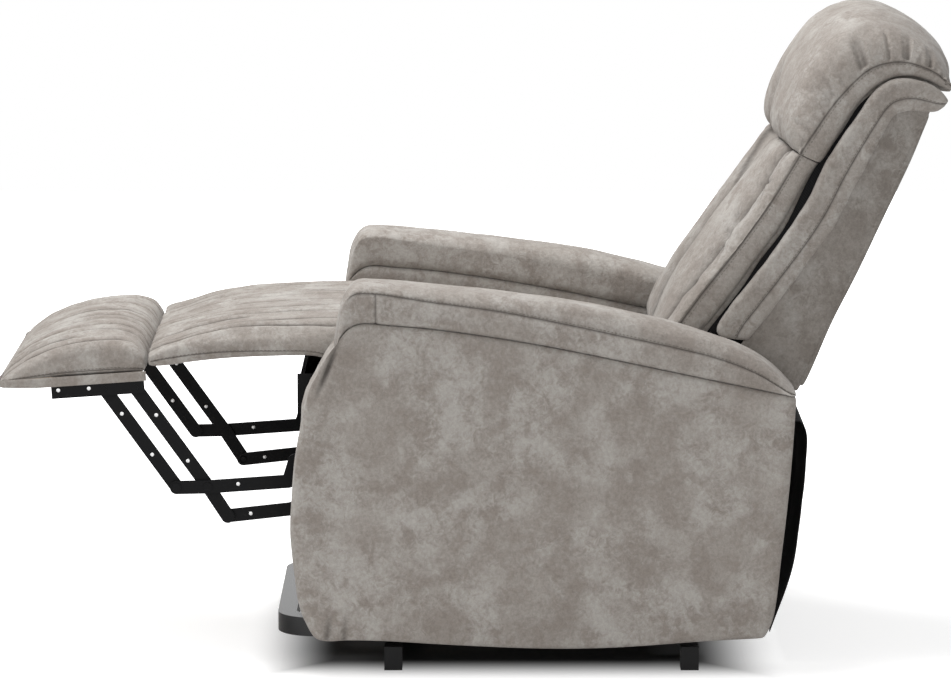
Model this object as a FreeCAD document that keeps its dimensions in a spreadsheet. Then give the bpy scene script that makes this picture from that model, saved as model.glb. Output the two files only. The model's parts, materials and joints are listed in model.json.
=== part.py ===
import FreeCAD, Part
import math
import os

import Sketcher
from FreeCAD import Placement, Rotation, Vector

# Power lift recliner: chair down, back reclined and footrest out.
# Z is up, the sitter faces -Y, and +X is the sitter's left.
# Every size is in millimetres or degrees and is a cell of the spreadsheet "dim".
# Names that end in _y and _z place a point in the side view, names in _x a distance from the middle.

SIZES = {
    # Arms: inner and outer faces, and the boards between them
    "arm_inner_x": 275, "arm_outer_x": 395,
    "arm_inner_board": 12, "arm_outer_board": 15, "arm_front_board": 12,
    "arm_rail_width": 40, "arm_rail_height": 40,
    "arm_front_rail_y": -190, "arm_front_rail_z": 75, "arm_rear_rail_y": 395, "arm_rear_rail_z": 95,
    # Arm outline in the side view
    "arm_top_y": -190, "arm_top_z": 556, "arm_neck_y": -213, "arm_neck_z": 536,
    "arm_shoulder_y": -249, "arm_shoulder_z": 488, "arm_chest_y": -273, "arm_chest_z": 390,
    "arm_bulge_y": -285.5, "arm_bulge_z": 300, "arm_belly_y": -287, "arm_belly_z": 213,
    "arm_shin_y": -279, "arm_shin_z": 140, "arm_toe_y": -256, "arm_toe_z": 66,
    "arm_hem_front_y": -236, "arm_hem_front_z": 57, "arm_hem_mid_y": 120, "arm_hem_mid_z": 46,
    "arm_hem_rear_y": 449, "arm_hem_rear_z": 63, "arm_heel_y": 486, "arm_heel_z": 295,
    "arm_tail_y": 498, "arm_tail_z": 443, "arm_seam_y": 223, "arm_seam_z": 499,
    "arm_crest_y": -70, "arm_crest_z": 549,
    # Arm pad: height above the seam, and how far it rolls over the two faces
    "arm_pad_nose_y": -212, "arm_pad_height": 56, "arm_pad_rise": 16, "arm_pad_overhang": 2,
    "arm_pad_tail_height": 6,
    # Floor frame of square tube on two cross tubes with plastic feet
    "tube_side": 30, "tube_wall": 2, "base_tube_x": 210, "base_tube_z": 35,
    "base_front_y": -315, "base_rear_y": 350, "base_bend": 62,
    "cross_depth": 24, "cross_height": 26, "cross_half_length": 318,
    "cross_front_y": -129, "cross_rear_y": 336,
    "foot_wall": 2, "foot_sole": 9, "foot_grip": 24, "foot_end": 12, "foot_fit": 0.1,
    # Lift linkage pivots
    "lift_hub_y": -251, "lift_hub_z": 90, "lift_tip_y": 15, "lift_tip_z": 83,
    "link_hub_y": -182, "link_hub_z": 111, "link_tip_y": 239, "link_tip_z": 120,
    "yoke_tube_radius": 11, "yoke_tube_wall": 3, "yoke_reach": 34, "yoke_half_gap": 18,
    "lift_arm_x": 230, "lift_link_x": 214, "lift_plate": 6, "lift_arm_half": 17, "lift_link_half": 14,
    "pivot_bracket_x": 222, "pivot_bracket_plate": 6, "pivot_bracket_margin": 18,
    "lift_pin_radius": 7, "pin_fit": 0.05, "open_pivot_fit": 0.75, "pin_end": 1.5,
    "post_radius": 12, "post_gap": 0.6,
    # Footrest linkage pivots: drive link, guide link, main lever and steady lever
    "drive_hub_y": -215.39, "drive_hub_z": 341.23, "drive_elbow_y": -284, "drive_elbow_z": 323,
    "drive_crook_y": -294, "drive_crook_z": 290,
    "drive_mid_y": -421, "drive_mid_z": 281, "drive_end_y": -470, "drive_end_z": 280,
    "guide_hub_y": -187.23, "guide_hub_z": 285.98, "guide_elbow_y": -291, "guide_elbow_z": 244,
    "guide_end_y": -390, "guide_end_z": 233,
    "main_top_y": -534, "main_top_z": 439, "steady_top_y": -583, "steady_top_z": 438,
    "bar_half": 10.5, "bar_plate": 4, "bar_gap": 1, "outer_bar_x": 266,
    "bar_pin_radius": 5, "open_bar_fit": 1.15, "rivet_radius": 7, "rivet_head": 1.8,
    # Footrest board and pad, measured along the footrest from the main lever's top pivot
    "footrest_slope": 3.9, "footrest_bracket_front": -131, "footrest_bracket_rear": 15,
    "footrest_bracket_drop": 9, "footrest_flange_z": 14, "footrest_flange": 3, "footrest_flange_width": 42,
    "footrest_board_x": 236, "footrest_board_front": -190, "footrest_board_rear": 10, "footrest_board": 12,
    "soft_gap": 0.4, "pad_side_gap": 3, "pad_draw": 9, "pad_crown": 16,
    "footpad_rear": 19.4, "footpad_front": -212, "footpad_nose_z": 36, "footpad_rise_u": -106,
    "footpad_rise_z": 78, "footpad_crown_u": -42, "footpad_crown_z": 82, "footpad_rear_z": 66,
    # Calf pad, hinged where it bends over the front edge of the seat
    "knee_y": -325.51, "knee_z": 517.41, "knee_notch": 42.5, "knee_gap": 0.4,
    "calf_front_y": -512.8, "calf_front_bottom_z": 470, "calf_front_top_z": 498, "calf_shoulder_z": 511,
    "calf_mid_y": -410, "calf_mid_z": 529, "knee_bottom_z": 487, "knee_top_z": 537,
    # Seat frame, springs and cushion
    "side_plate": 4, "rail_front_y": -279, "rail_depth": 30, "rail_front_z": 400, "rail_height": 40,
    "rail_rear_y": 225, "rail_rear_z": 336, "rail_rear_height": 34, "seat_side_rail": 28,
    "web_count": 5, "web_width": 50, "web_thickness": 3,
    "seat_ledge_y": -272, "seat_inner_y": -246, "seat_rear_y": 262, "seat_crest_y": -206,
    "seat_crest_z": 540, "seat_slope_y": 90, "seat_slope_z": 508, "seat_rear_z": 476,
    "seat_crown": 14, "seat_corner": 24,
    "panel_thickness": 2, "panel_half_width": 250, "panel_bottom_z": 372,
    # Side plates of the chair
    "plate_front_top_z": 462, "plate_lower_y": -242, "plate_lower_z": 268, "plate_waist_y": -150,
    "plate_waist_z": 240, "plate_rear_y": 345, "plate_knee_y": 340, "plate_knee_z": 300,
    "chair_tube_radius": 14, "chair_tube_wall": 2, "front_tube_y": -120, "front_tube_z": 314,
    "rear_tube_y": 262, "rear_tube_z": 205,
    # Rear rail and hanging cloths
    "tail_rail_y": 458, "tail_rail_depth": 28, "tail_rail_z": 344, "tail_rail_height": 36,
    "cloth_thickness": 3, "cloth_half_width": 262, "cloth_top_y": 519, "cloth_top_z": 386,
    "cloth_bulge_y": 537, "cloth_bulge_z": 270, "cloth_hem_y": 489, "cloth_hem_z": 16,
    "cloth_fold_depth": 5, "cloth_folds": 3,
    # Back, measured along and square to the back from its hinge
    "back_hub_y": 300, "back_hub_z": 430, "back_angle": 24.6, "frame_angle": 35.63,
    "back_half_width": 270, "back_board": 10, "back_rear_n": -190,
    "back_foot_rear": 97, "back_foot_front": 112, "back_foot_front_n": -41,
    "back_head_front": 538, "back_head_front_n": -123, "back_head_rear": 568, "back_head_rear_n": -179,
    "back_side_board": 12, "wing_outer_x": 271.6, "wing_width": 27, "wing_depth": 28,
    "wing_foot": 117, "wing_head": 563, "wing_head_n": -98, "collar_crest": 606, "collar_crest_n": -168,
    "collar_brow": 591, "collar_brow_n": -123, "collar_tip": 597, "collar_tip_n": -203,
    "collar_under": 588,
    "upright_x": 213, "upright_width": 24, "upright_depth": 50, "upright_foot": 40, "upright_head": 545,
    "upright_face": -6, "back_rail_depth": 25, "back_rail_height": 42,
    "back_rail_low": 62, "back_rail_mid": 290, "back_rail_high": 466,
    "hinge_plate_x": 237, "hinge_plate": 6, "hinge_plate_head": 200, "hinge_plate_margin": 20,
    "hinge_tube_radius": 13, "hinge_pin_radius": 9, "hinge_tube_reach": 266,
    "back_soft_half": 256, "back_soft_draw": 10, "back_cushion_foot": 30, "back_cushion_over_nape": 27,
    "back_cushion_crown": 12, "lumbar": 115, "lumbar_n": 40, "waist": 244, "waist_n": 33,
    "nape": 409, "nape_n": 3, "channel_x": 150, "channel_depth": 13, "channel_half": 15,
    "notch_half": 55, "notch_foot": 300, "notch_foot_n": 22, "notch_depth": 10,
    "pillow_half_width": 262, "pillow_crown": 12, "pillow_foot": 440,
    "pillow_chin": 490, "pillow_chin_n": 26,
    "pillow_face": 560, "pillow_face_n": 25, "pillow_brow": 650, "pillow_brow_n": -12,
    "pillow_top": 681, "pillow_top_n": -78, "pillow_nape": 662, "pillow_nape_n": -172,
    "pillow_tail": 630, "pillow_tail_n": -207,
    # Three linear motors: where each is hinged, and where its rod pushes
    "lift_mount_y": 318, "lift_mount_z": 72, "lift_push_y": -186, "lift_push_z": 202.6,
    "foot_mount_y": 230, "foot_mount_z": 205, "foot_push_y": -262.2, "foot_push_z": 289.2,
    "back_mount_y": -90, "back_mount_z": 265, "back_push_y": 300, "back_push_z": 320,
    "foot_motor_x": -90, "back_motor_x": 90,
    "motor_housing": 62, "motor_half_width": 24, "motor_half_height": 24, "motor_can_radius": 21,
    "motor_can_length": 92, "motor_tube_radius": 17, "motor_bore": 11.3, "rod_radius": 11,
    "rod_eye_radius": 12, "rod_eye_half": 6, "motor_pin_radius": 6, "motor_ear_half": 8, "lug_plate": 5,
    "lug_gap": 0.5, "rod_inside": 14, "tube_end_gap": 30,
    "foot_stroke": 91, "back_stroke_in": 29,
    "lift_slot_length": 15, "lift_slot_slack": 2.1, "foot_slot_length": 18.6, "foot_slot_slack": 3.7,
    "back_slot_length": 5, "back_slot_slack": 0.6, "crank_margin": 10, "crank_bore_extra": 3,
    # Power supply, handset and the recess that holds it
    "supply_width": 60, "supply_front_y": 60, "supply_length": 130, "supply_z": 176, "supply_height": 56,
    "inlet_width": 26, "inlet_height": 18, "inlet_depth": 16,
    "recess_y": -35, "recess_z": 452, "recess_half_width": 32, "recess_half_height": 72,
    "recess_depth": 34, "recess_wall": 2,
    "handset_half_width": 25, "handset_height": 132, "handset_depth": 24, "handset_socket": 4,
    "lead_hole_extra": 2,
    "rocker_half_width": 17, "rocker_height": 26, "rocker_pitch": 34, "rocker_first_z": 420,
    "rocker_proud": 3, "rocker_depth": 11, "rocker_gap": 1.2, "rocker_pin": 1.5, "rocker_pin_reach": 3,
}

X_AXIS = Vector(1, 0, 0)
LEFT = 1
RIGHT = -1
SIDES = (("left", LEFT), ("right", RIGHT))

DOC = FreeCAD.newDocument("LiftRecliner")
SHEET = DOC.addObject("Spreadsheet::Sheet", "dim")
NODES = {}


def fill_sheet():
    """Write each size and its name to a row of the spreadsheet."""
    for row, (alias, value) in enumerate(SIZES.items(), start=1):
        SHEET.set(f"A{row}", alias)
        SHEET.set(f"B{row}", str(value))
        SHEET.setAlias(f"B{row}", alias)
    DOC.recompute()


def size(alias):
    """The number in the cell with this alias."""
    return float(getattr(SHEET, alias))


def point(name):
    """Side-view place of a named point, as two expressions."""
    return (f"dim.{name}_y", f"dim.{name}_z")


def add_node(name, thing):
    """Register a finished sub-part under its node name."""
    thing.Label = name
    NODES[name] = thing
    return thing


def new_body(name):
    return DOC.addObject("PartDesign::Body", name)


def join_as_node(name, parts):
    """One node of several like solids, such as a left and a right bar."""
    compound = DOC.addObject("Part::Compound", name)
    compound.Links = parts
    return add_node(name, compound)


# Sketches, bound to the spreadsheet

def new_sketch(body, role, offset, origin=None, angle=None):
    """Sketch on the body's own origin plane, offset along its normal and turned about its origin point."""
    sketch = body.newObject("Sketcher::SketchObject", body.Name + "_sketch")
    plane = [feature for feature in body.Origin.OriginFeatures if feature.Role == role][0]
    sketch.AttachmentSupport = [(plane, "")]
    sketch.MapMode = "FlatFace"
    sketch.AttachmentOffset = Placement(Vector(), Rotation(Vector(0, 0, 1), 1 if angle else 0))
    sketch.setExpression("AttachmentOffset.Base.z", offset)
    if origin:
        sketch.setExpression("AttachmentOffset.Base.x", origin[0])
        sketch.setExpression("AttachmentOffset.Base.y", origin[1])
    if angle:
        sketch.setExpression("AttachmentOffset.Rotation.Angle", angle)
    return sketch


def number(sketch, expression):
    value = sketch.evalExpression(expression)
    return float(getattr(value, "Value", value))


def bind(sketch, kind, *references_and_expression):
    """Add a dimension to the sketch and tie it to an expression."""
    *references, expression = references_and_expression
    value = number(sketch, expression)
    index = sketch.addConstraint(Sketcher.Constraint(kind, *references, value))
    sketch.setExpression(f"Constraints[{index}]", expression)


def draw_polygon(sketch, corners):
    """Closed outline of straight lines through corners given as pairs of expressions."""
    places = [Vector(number(sketch, across), number(sketch, up), 0) for across, up in corners]
    first = sketch.GeometryCount
    count = len(corners)
    for index in range(count):
        sketch.addGeometry(Part.LineSegment(places[index], places[(index + 1) % count]), False)
    for index, (across, up) in enumerate(corners):
        following = first + (index + 1) % count
        sketch.addConstraint(Sketcher.Constraint("Coincident", first + index, 2, following, 1))
        bind(sketch, "DistanceX", -1, 1, first + index, 1, across)
        bind(sketch, "DistanceY", -1, 1, first + index, 1, up)


def draw_circle(sketch, centre, radius):
    middle = Vector(number(sketch, centre[0]), number(sketch, centre[1]), 0)
    circle = sketch.addGeometry(Part.Circle(middle, Vector(0, 0, 1), number(sketch, radius)), False)
    bind(sketch, "DistanceX", -1, 1, circle, 3, centre[0])
    bind(sketch, "DistanceY", -1, 1, circle, 3, centre[1])
    bind(sketch, "Radius", circle, radius)


def draw_slot(sketch, length, half_width, start="0"):
    """Round-ended outline that runs along the sketch's X axis from start, by length."""
    begin = number(sketch, start)
    finish = begin + number(sketch, length)
    radius = number(sketch, half_width)
    normal = Vector(0, 0, 1)
    first = sketch.GeometryCount
    second, upper, lower = first + 1, first + 2, first + 3
    quarter = math.pi / 2
    sketch.addGeometry([
        Part.ArcOfCircle(Part.Circle(Vector(begin, 0, 0), normal, radius), quarter, 3 * quarter),
        Part.ArcOfCircle(Part.Circle(Vector(finish, 0, 0), normal, radius), -quarter, quarter),
        Part.LineSegment(Vector(begin, radius, 0), Vector(finish, radius, 0)),
        Part.LineSegment(Vector(begin, -radius, 0), Vector(finish, -radius, 0)),
    ], False)
    for rule in (("Tangent", first, 1, upper, 1), ("Tangent", first, 2, lower, 1),
                 ("Tangent", second, 1, lower, 2), ("Tangent", second, 2, upper, 2),
                 ("PointOnObject", first, 3, -1), ("PointOnObject", second, 3, -1),
                 ("Equal", first, second)):
        sketch.addConstraint(Sketcher.Constraint(*rule))
    bind(sketch, "DistanceX", -1, 1, first, 3, start)
    bind(sketch, "DistanceX", first, 3, second, 3, length)
    bind(sketch, "Radius", first, half_width)


# Features that run across the chair, along X

def span(side, inner, outer):
    """Low and high X of something between two distances from the middle, on one side."""
    if side == LEFT:
        return (f"({inner})", f"({outer})")
    return (f"-({outer})", f"-({inner})")


def pad(body, sketch, length, reverse=False):
    feature = body.newObject("PartDesign::Pad", body.Name + "_pad")
    feature.Profile = sketch
    feature.Reversed = reverse
    feature.setExpression("Length", length)
    DOC.recompute()
    return feature


def pocket(body, sketch, length):
    """Cut against the sketch's normal, and make sure that material went."""
    before = body.Shape.Volume
    feature = body.newObject("PartDesign::Pocket", body.Name + "_pocket")
    feature.Profile = sketch
    feature.setExpression("Length", length)
    DOC.recompute()
    if body.Shape.Volume >= before:
        raise ValueError(f"{body.Name}: the pocket removed nothing")
    return feature


def pad_polygon(body, low, high, corners, origin=None, angle=None):
    sketch = new_sketch(body, "YZ_Plane", low, origin, angle)
    draw_polygon(sketch, corners)
    return pad(body, sketch, f"({high}) - ({low})")


def pad_disc(body, low, high, centre, radius):
    sketch = new_sketch(body, "YZ_Plane", low)
    draw_circle(sketch, centre, radius)
    return pad(body, sketch, f"({high}) - ({low})")


def pocket_disc(body, low, high, centre, radius):
    sketch = new_sketch(body, "YZ_Plane", high)
    draw_circle(sketch, centre, radius)
    return pocket(body, sketch, f"({high}) - ({low})")


def pocket_polygon(body, low, high, corners, origin=None, angle=None):
    sketch = new_sketch(body, "YZ_Plane", high, origin, angle)
    draw_polygon(sketch, corners)
    return pocket(body, sketch, f"({high}) - ({low})")


def reach(start, finish):
    """Distance between two side-view points, as an expression."""
    return f"sqrt((({finish[0]}) - ({start[0]}))^2 + (({finish[1]}) - ({start[1]}))^2)"


def direction(start, finish):
    """Angle of the line from start to finish above +Y, as an expression."""
    return f"atan2(({finish[1]}) - ({start[1]}); ({finish[0]}) - ({start[0]}))"


def stepped(start, target, length):
    """Point at a length from start on the line towards target, or away from it if the length is negative."""
    share = f"({length}) / {reach(start, target)}"
    return (f"{start[0]} + ({target[0]} - {start[0]}) * {share}",
            f"{start[1]} + ({target[1]} - {start[1]}) * {share}")


def pad_bar(body, low, high, start, finish, half_width):
    """Round-ended bar from one pivot to another."""
    sketch = new_sketch(body, "YZ_Plane", low, start, direction(start, finish))
    draw_slot(sketch, reach(start, finish), half_width)
    return pad(body, sketch, f"({high}) - ({low})")


def rectangle(low_y, high_y, low_z, high_z):
    return [(low_y, low_z), (high_y, low_z), (high_y, high_z), (low_y, high_z)]


def beam(name, low, high, corners, origin=None, angle=None):
    """Solid member of one section that runs across the chair."""
    body = new_body(name)
    pad_polygon(body, low, high, corners, origin, angle)
    return body


def tube_ring(name, low, high, centre, radius, bore):
    """Round tube across the chair."""
    body = new_body(name)
    sketch = new_sketch(body, "YZ_Plane", low)
    draw_circle(sketch, centre, radius)
    draw_circle(sketch, centre, bore)
    pad(body, sketch, f"({high}) - ({low})")
    return body


# Outlines of lines and arcs, for upholstery

class Path:
    """Closed outline in space, made of straight lines and arcs."""

    def __init__(self, start):
        self.start = start
        self.last = start
        self.edges = []

    def line(self, end):
        self.edges.append(Part.LineSegment(self.last, end).toShape())
        self.last = end
        return self

    def arc(self, middle, end):
        self.edges.append(Part.Arc(self.last, middle, end).toShape())
        self.last = end
        return self

    def close(self):
        if self.last.distanceToPoint(self.start) > 1e-6:
            self.line(self.start)
        return Part.Wire(self.edges)


def make_feature(name, shape, placement=None):
    feature = DOC.addObject("Part::Feature", name)
    feature.Shape = shape
    if placement:
        feature.Placement = placement
    return feature


def solid_between(wire, low, high):
    """Prism of a side-view outline drawn at X = low, up to X = high."""
    return Part.Face(wire).extrude(Vector(high - low, 0, 0))


def loft(wires):
    """Closed solid through outlines that each have as many lines and arcs."""
    shape = Part.makeLoft(wires, True, True)
    if shape.Volume < 0:
        shape.reverse()
    return shape


# Share of the crown, and of the drawn-in edge, from the middle of a cushion to its side
SOFT_STATIONS = ((0.0, 1.0, 0.0), (0.55, 0.96, 0.0), (0.82, 0.8, 0.0), (0.95, 0.45, 0.3), (1.0, 0.0, 1.0))


def pad_half_width():
    """Half the width of the seat, calf and footrest pads, which run between the side plates."""
    return size("arm_inner_x") - size("side_plate") - size("pad_side_gap")


def soft_loft(half_width, section):
    """Cushion through side-view sections; section(x, crown, draw) gives the outline at x."""
    mirrored = [(-share, crown, draw) for share, crown, draw in SOFT_STATIONS[:0:-1]]
    stations = mirrored + list(SOFT_STATIONS)
    return loft([section(share * half_width, crown, draw) for share, crown, draw in stations])


# Floor frame

def make_base_tubes():
    low, high = "dim.base_tube_x", "dim.base_tube_x + dim.tube_side"
    straight_front = "dim.base_front_y + dim.base_bend"
    tubes = []
    for side_name, side in SIDES:
        body = beam(f"base_side_tube_{side_name}", *span(side, low, high),
                    rectangle(straight_front, "dim.base_rear_y", "dim.base_tube_z",
                              "dim.base_tube_z + dim.tube_side"))
        cavity = rectangle(straight_front, "dim.base_rear_y",
                           "dim.base_tube_z + dim.tube_wall",
                            "dim.base_tube_z + dim.tube_side - dim.tube_wall")
        pocket_polygon(body, *span(side, f"{low} + dim.tube_wall", f"{high} - dim.tube_wall"), cavity)
        tubes.append(body)
    join_as_node("base_side_tubes", tubes)
    make_front_tube()


def front_bend_outline(inset):
    """Plan of the front tube and its two bends, inset from its walls."""
    outer_x = size("base_tube_x") + size("tube_side") - inset
    inner_x = size("base_tube_x") + inset
    front = size("base_front_y") + inset
    back = size("base_front_y") + size("tube_side") - inset
    rear = size("base_front_y") + size("base_bend")
    outer_r = size("base_bend") - inset
    inner_r = size("base_bend") - size("tube_side") + inset
    z = size("base_tube_z") + inset
    turn = math.sqrt(0.5)

    def place(x, y):
        return Vector(x, y, z)

    path = Path(place(-outer_x, rear))
    path.arc(place(-outer_x + outer_r * (1 - turn), front + outer_r * (1 - turn)),
             place(-outer_x + outer_r, front))
    path.line(place(outer_x - outer_r, front))
    path.arc(place(outer_x - outer_r * (1 - turn), front + outer_r * (1 - turn)), place(outer_x, rear))
    path.line(place(inner_x, rear))
    path.arc(place(inner_x - inner_r * (1 - turn), back + inner_r * (1 - turn)),
             place(inner_x - inner_r, back))
    path.line(place(-inner_x + inner_r, back))
    path.arc(place(-inner_x + inner_r * (1 - turn), back + inner_r * (1 - turn)), place(-inner_x, rear))
    return path.close()


def make_front_tube():
    wall = size("tube_wall")
    side = size("tube_side")
    shell = Part.Face(front_bend_outline(0)).extrude(Vector(0, 0, side))
    cavity = Part.Face(front_bend_outline(wall)).extrude(Vector(0, 0, side - 2 * wall))
    add_node("base_front_tube", make_feature("base_front_tube", shell.cut(cavity)))


def make_cross_tube(name, centre_y):
    half = "dim.cross_depth / 2"
    bottom = "dim.base_tube_z - dim.cross_height"
    ends = ("-dim.cross_half_length", "dim.cross_half_length")
    body = new_body(name)
    sketch = new_sketch(body, "YZ_Plane", ends[0])
    draw_polygon(sketch, rectangle(f"{centre_y} - {half}", f"{centre_y} + {half}",
                                   bottom, "dim.base_tube_z"))
    draw_polygon(sketch, rectangle(f"{centre_y} - {half} + dim.tube_wall",
                                   f"{centre_y} + {half} - dim.tube_wall",
                                   f"{bottom} + dim.tube_wall", "dim.base_tube_z - dim.tube_wall"))
    pad(body, sketch, "2 * dim.cross_half_length")
    add_node(name, body)


def make_foot(name, side, centre_y):
    """Plastic shoe over the end of a cross tube."""
    half = "(dim.cross_depth / 2 + dim.foot_fit)"
    bottom = "dim.base_tube_z - dim.cross_height - dim.foot_fit"
    top = "dim.base_tube_z + dim.foot_fit"
    inner = "dim.cross_half_length - dim.foot_grip"
    body = beam(name, *span(side, inner, "dim.cross_half_length + dim.foot_end"),
                rectangle(f"{centre_y} - {half} - dim.foot_wall", f"{centre_y} + {half} + dim.foot_wall",
                          f"{bottom} - dim.foot_sole + dim.foot_fit", f"{top} + dim.foot_wall"))
    pocket_polygon(body, *span(side, inner, "dim.cross_half_length + dim.foot_fit"),
                   rectangle(f"{centre_y} - {half}", f"{centre_y} + {half}", bottom, top))
    return body


def make_feet():
    feet = []
    for side_name, side in SIDES:
        for place in ("front", "rear"):
            feet.append(make_foot(f"foot_{place}_{side_name}", side, f"dim.cross_{place}_y"))
    join_as_node("base_feet", feet)


def make_pivot_brackets():
    """Plates that stand on the side tubes and carry both lift pivots with their pins."""
    top = "dim.base_tube_z + dim.tube_side"
    margin = "dim.pivot_bracket_margin"
    inner = "dim.pivot_bracket_x"
    outer = f"{inner} + dim.pivot_bracket_plate"
    outline = [
        (f"dim.lift_hub_y - {margin}", top), (f"dim.link_hub_y + {margin}", top),
        (f"dim.link_hub_y + {margin}", f"dim.link_hub_z + {margin} / 2"),
        (f"dim.link_hub_y + {margin} / 2", f"dim.link_hub_z + {margin}"),
        (f"dim.link_hub_y - {margin} / 2", f"dim.link_hub_z + {margin}"),
        (f"dim.lift_hub_y - {margin} / 2", f"dim.lift_hub_z + {margin}"),
        (f"dim.lift_hub_y - {margin}", f"dim.lift_hub_z + {margin} / 2"),
    ]
    brackets = []
    for side_name, side in SIDES:
        body = beam(f"base_pivot_bracket_{side_name}", *span(side, inner, outer), outline)
        pad_disc(body, *span(side, outer, "dim.lift_arm_x + dim.lift_plate + dim.pin_end"),
                 point("lift_hub"), "dim.lift_pin_radius")
        pad_disc(body, *span(side, "dim.lift_link_x - dim.pin_end", inner),
                 point("link_hub"), "dim.lift_pin_radius")
        brackets.append(body)
    join_as_node("base_pivot_brackets", brackets)


def make_lift_motor_bracket():
    """Foot plate on the rear cross tube, with two ears and the pin that the lift motor hangs on."""
    top = "dim.base_tube_z"
    ear = "dim.motor_ear_half + dim.lug_gap + dim.lug_plate"
    front = "dim.lift_mount_y - dim.crank_margin"
    rear = "dim.cross_rear_y + dim.cross_depth / 2"
    body = beam("lift_motor_bracket", f"-({ear})", ear,
                rectangle(front, rear, top, f"{top} + dim.lug_plate"))
    ear_outline = [
        (front, f"{top} + dim.lug_plate"), (rear, f"{top} + dim.lug_plate"),
        ("dim.lift_mount_y + dim.crank_margin", "dim.lift_mount_z + dim.crank_margin"),
        (front, "dim.lift_mount_z + dim.crank_margin"),
    ]
    for low, high in fork_plates("0", "dim.motor_ear_half + dim.lug_gap"):
        pad_polygon(body, low, high, ear_outline)
    pad_disc(body, f"-({ear})", ear, point("lift_mount"), "dim.motor_pin_radius")
    add_node("lift_motor_bracket", body)


# Lift linkage

def yoke_centre():
    """The yoke's tube lies beyond the rod's pin, on the line from the arms' hub."""
    return stepped(point("lift_push"), point("lift_hub"), "-dim.yoke_reach")


def make_lift_arms():
    """Arms from the floor frame to the chair, each with a branch that holds the yoke's tube."""
    inner = "dim.lift_arm_x"
    outer = f"{inner} + dim.lift_plate"
    for side_name, side in SIDES:
        name = f"lift_arm_{side_name}"
        body = new_body(name)
        edges = span(side, inner, outer)
        pad_bar(body, *edges, point("lift_hub"), point("lift_tip"), "dim.lift_arm_half")
        pad_bar(body, *edges, point("lift_hub"), yoke_centre(), "dim.lift_arm_half")
        for end in ("lift_hub", "lift_tip"):
            pocket_disc(body, *edges, point(end), "dim.lift_pin_radius + dim.pin_fit")
        add_node(name, body)


def make_lift_links():
    inner = "dim.lift_link_x"
    outer = f"{inner} + dim.lift_plate"
    links = []
    for side_name, side in SIDES:
        body = new_body(f"lift_link_{side_name}")
        edges = span(side, inner, outer)
        pad_bar(body, *edges, point("link_hub"), point("link_tip"), "dim.lift_link_half")
        pocket_disc(body, *edges, point("link_hub"), "dim.lift_pin_radius + dim.pin_fit")
        pocket_disc(body, *edges, point("link_tip"), "dim.lift_pin_radius + dim.open_pivot_fit")
        links.append(body)
    join_as_node("lift_links", links)


def fork_plates(centre_x, half_gap):
    """Low and high X of the two plates of a fork whose jaws are half_gap from its middle."""
    return ((f"{centre_x} - ({half_gap}) - dim.lug_plate", f"{centre_x} - ({half_gap})"),
            (f"{centre_x} + ({half_gap})", f"{centre_x} + ({half_gap}) + dim.lug_plate"))


def cut_slots(body, plates, push, hub, length, slack, start="0"):
    """Slot in each plate for the rod's pin, along the line through the crank's hub."""
    for low, high in plates:
        slot = new_sketch(body, "YZ_Plane", high, push, direction(push, hub))
        draw_slot(slot, length, f"dim.motor_pin_radius + {slack}", start)
        pocket(body, slot, f"({high}) - ({low})")


def make_crank(name, tube, push, radius, bore, half_length, centre_x, slot):
    """Cross tube with a forked crank; slot is (length, slack, start) from the rod's pin at rest."""
    length, slack, start = slot
    body = new_body(name)
    pad_disc(body, f"-({half_length})", half_length, tube, radius)
    plates = fork_plates(centre_x, "dim.rod_eye_half + dim.lug_gap")
    for low, high in plates:
        pad_bar(body, low, high, tube, push, f"dim.motor_pin_radius + {slack} + dim.crank_margin")
    cut_slots(body, plates, push, tube, length, slack, start)
    pocket_disc(body, f"-({half_length})", half_length, tube, bore)
    add_node(name, body)


def make_lift_yoke():
    """Cross tube held up by the lift arms, with two plates that hang from it for the rod's pin."""
    push, hub = point("lift_push"), point("lift_hub")
    slot_end = stepped(push, hub, "dim.lift_slot_length")
    body = new_body("lift_yoke")
    pad_disc(body, "-dim.lift_arm_x", "dim.lift_arm_x", yoke_centre(), "dim.yoke_tube_radius")
    plates = fork_plates("0", "dim.yoke_half_gap")
    for low, high in plates:
        pad_bar(body, low, high, yoke_centre(), slot_end,
                "dim.motor_pin_radius + dim.lift_slot_slack + dim.crank_margin")
    cut_slots(body, plates, push, hub, "dim.lift_slot_length", "dim.lift_slot_slack")
    pocket_disc(body, "-dim.lift_arm_x", "dim.lift_arm_x", yoke_centre(),
                "dim.yoke_tube_radius - dim.yoke_tube_wall")
    add_node("lift_yoke", body)


# Linear motors, each drawn along its own line from its hinge

def motor_frame(prefix):
    """Origin and angle of a motor's own axis."""
    start, finish = point(f"{prefix}_mount"), point(f"{prefix}_push")
    return start, direction(start, finish), reach(start, finish)


def turned_disc(body, prefix_frame, begin, finish, radius, centre_x, offset="0"):
    """Cylinder along the motor's axis, from begin to finish along it."""
    origin, angle, _length = prefix_frame
    sketch = body.newObject("Sketcher::SketchObject", body.Name + "_round")
    plane = [feature for feature in body.Origin.OriginFeatures if feature.Role == "XZ_Plane"][0]
    sketch.AttachmentSupport = [(plane, "")]
    sketch.MapMode = "FlatFace"
    sketch.setExpression("AttachmentOffset.Base.z", f"-({begin})")
    draw_circle(sketch, (centre_x, offset), radius)
    pad(body, sketch, f"({finish}) - ({begin})", reverse=True)


def set_motor_placement(body, frame):
    """Turn a body drawn along +Y onto the motor's line."""
    origin, angle, _length = frame
    body.Placement = Placement(Vector(), Rotation(X_AXIS, 1))
    body.setExpression("Placement.Base.y", origin[0])
    body.setExpression("Placement.Base.z", origin[1])
    body.setExpression("Placement.Rotation.Angle", angle)


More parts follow.
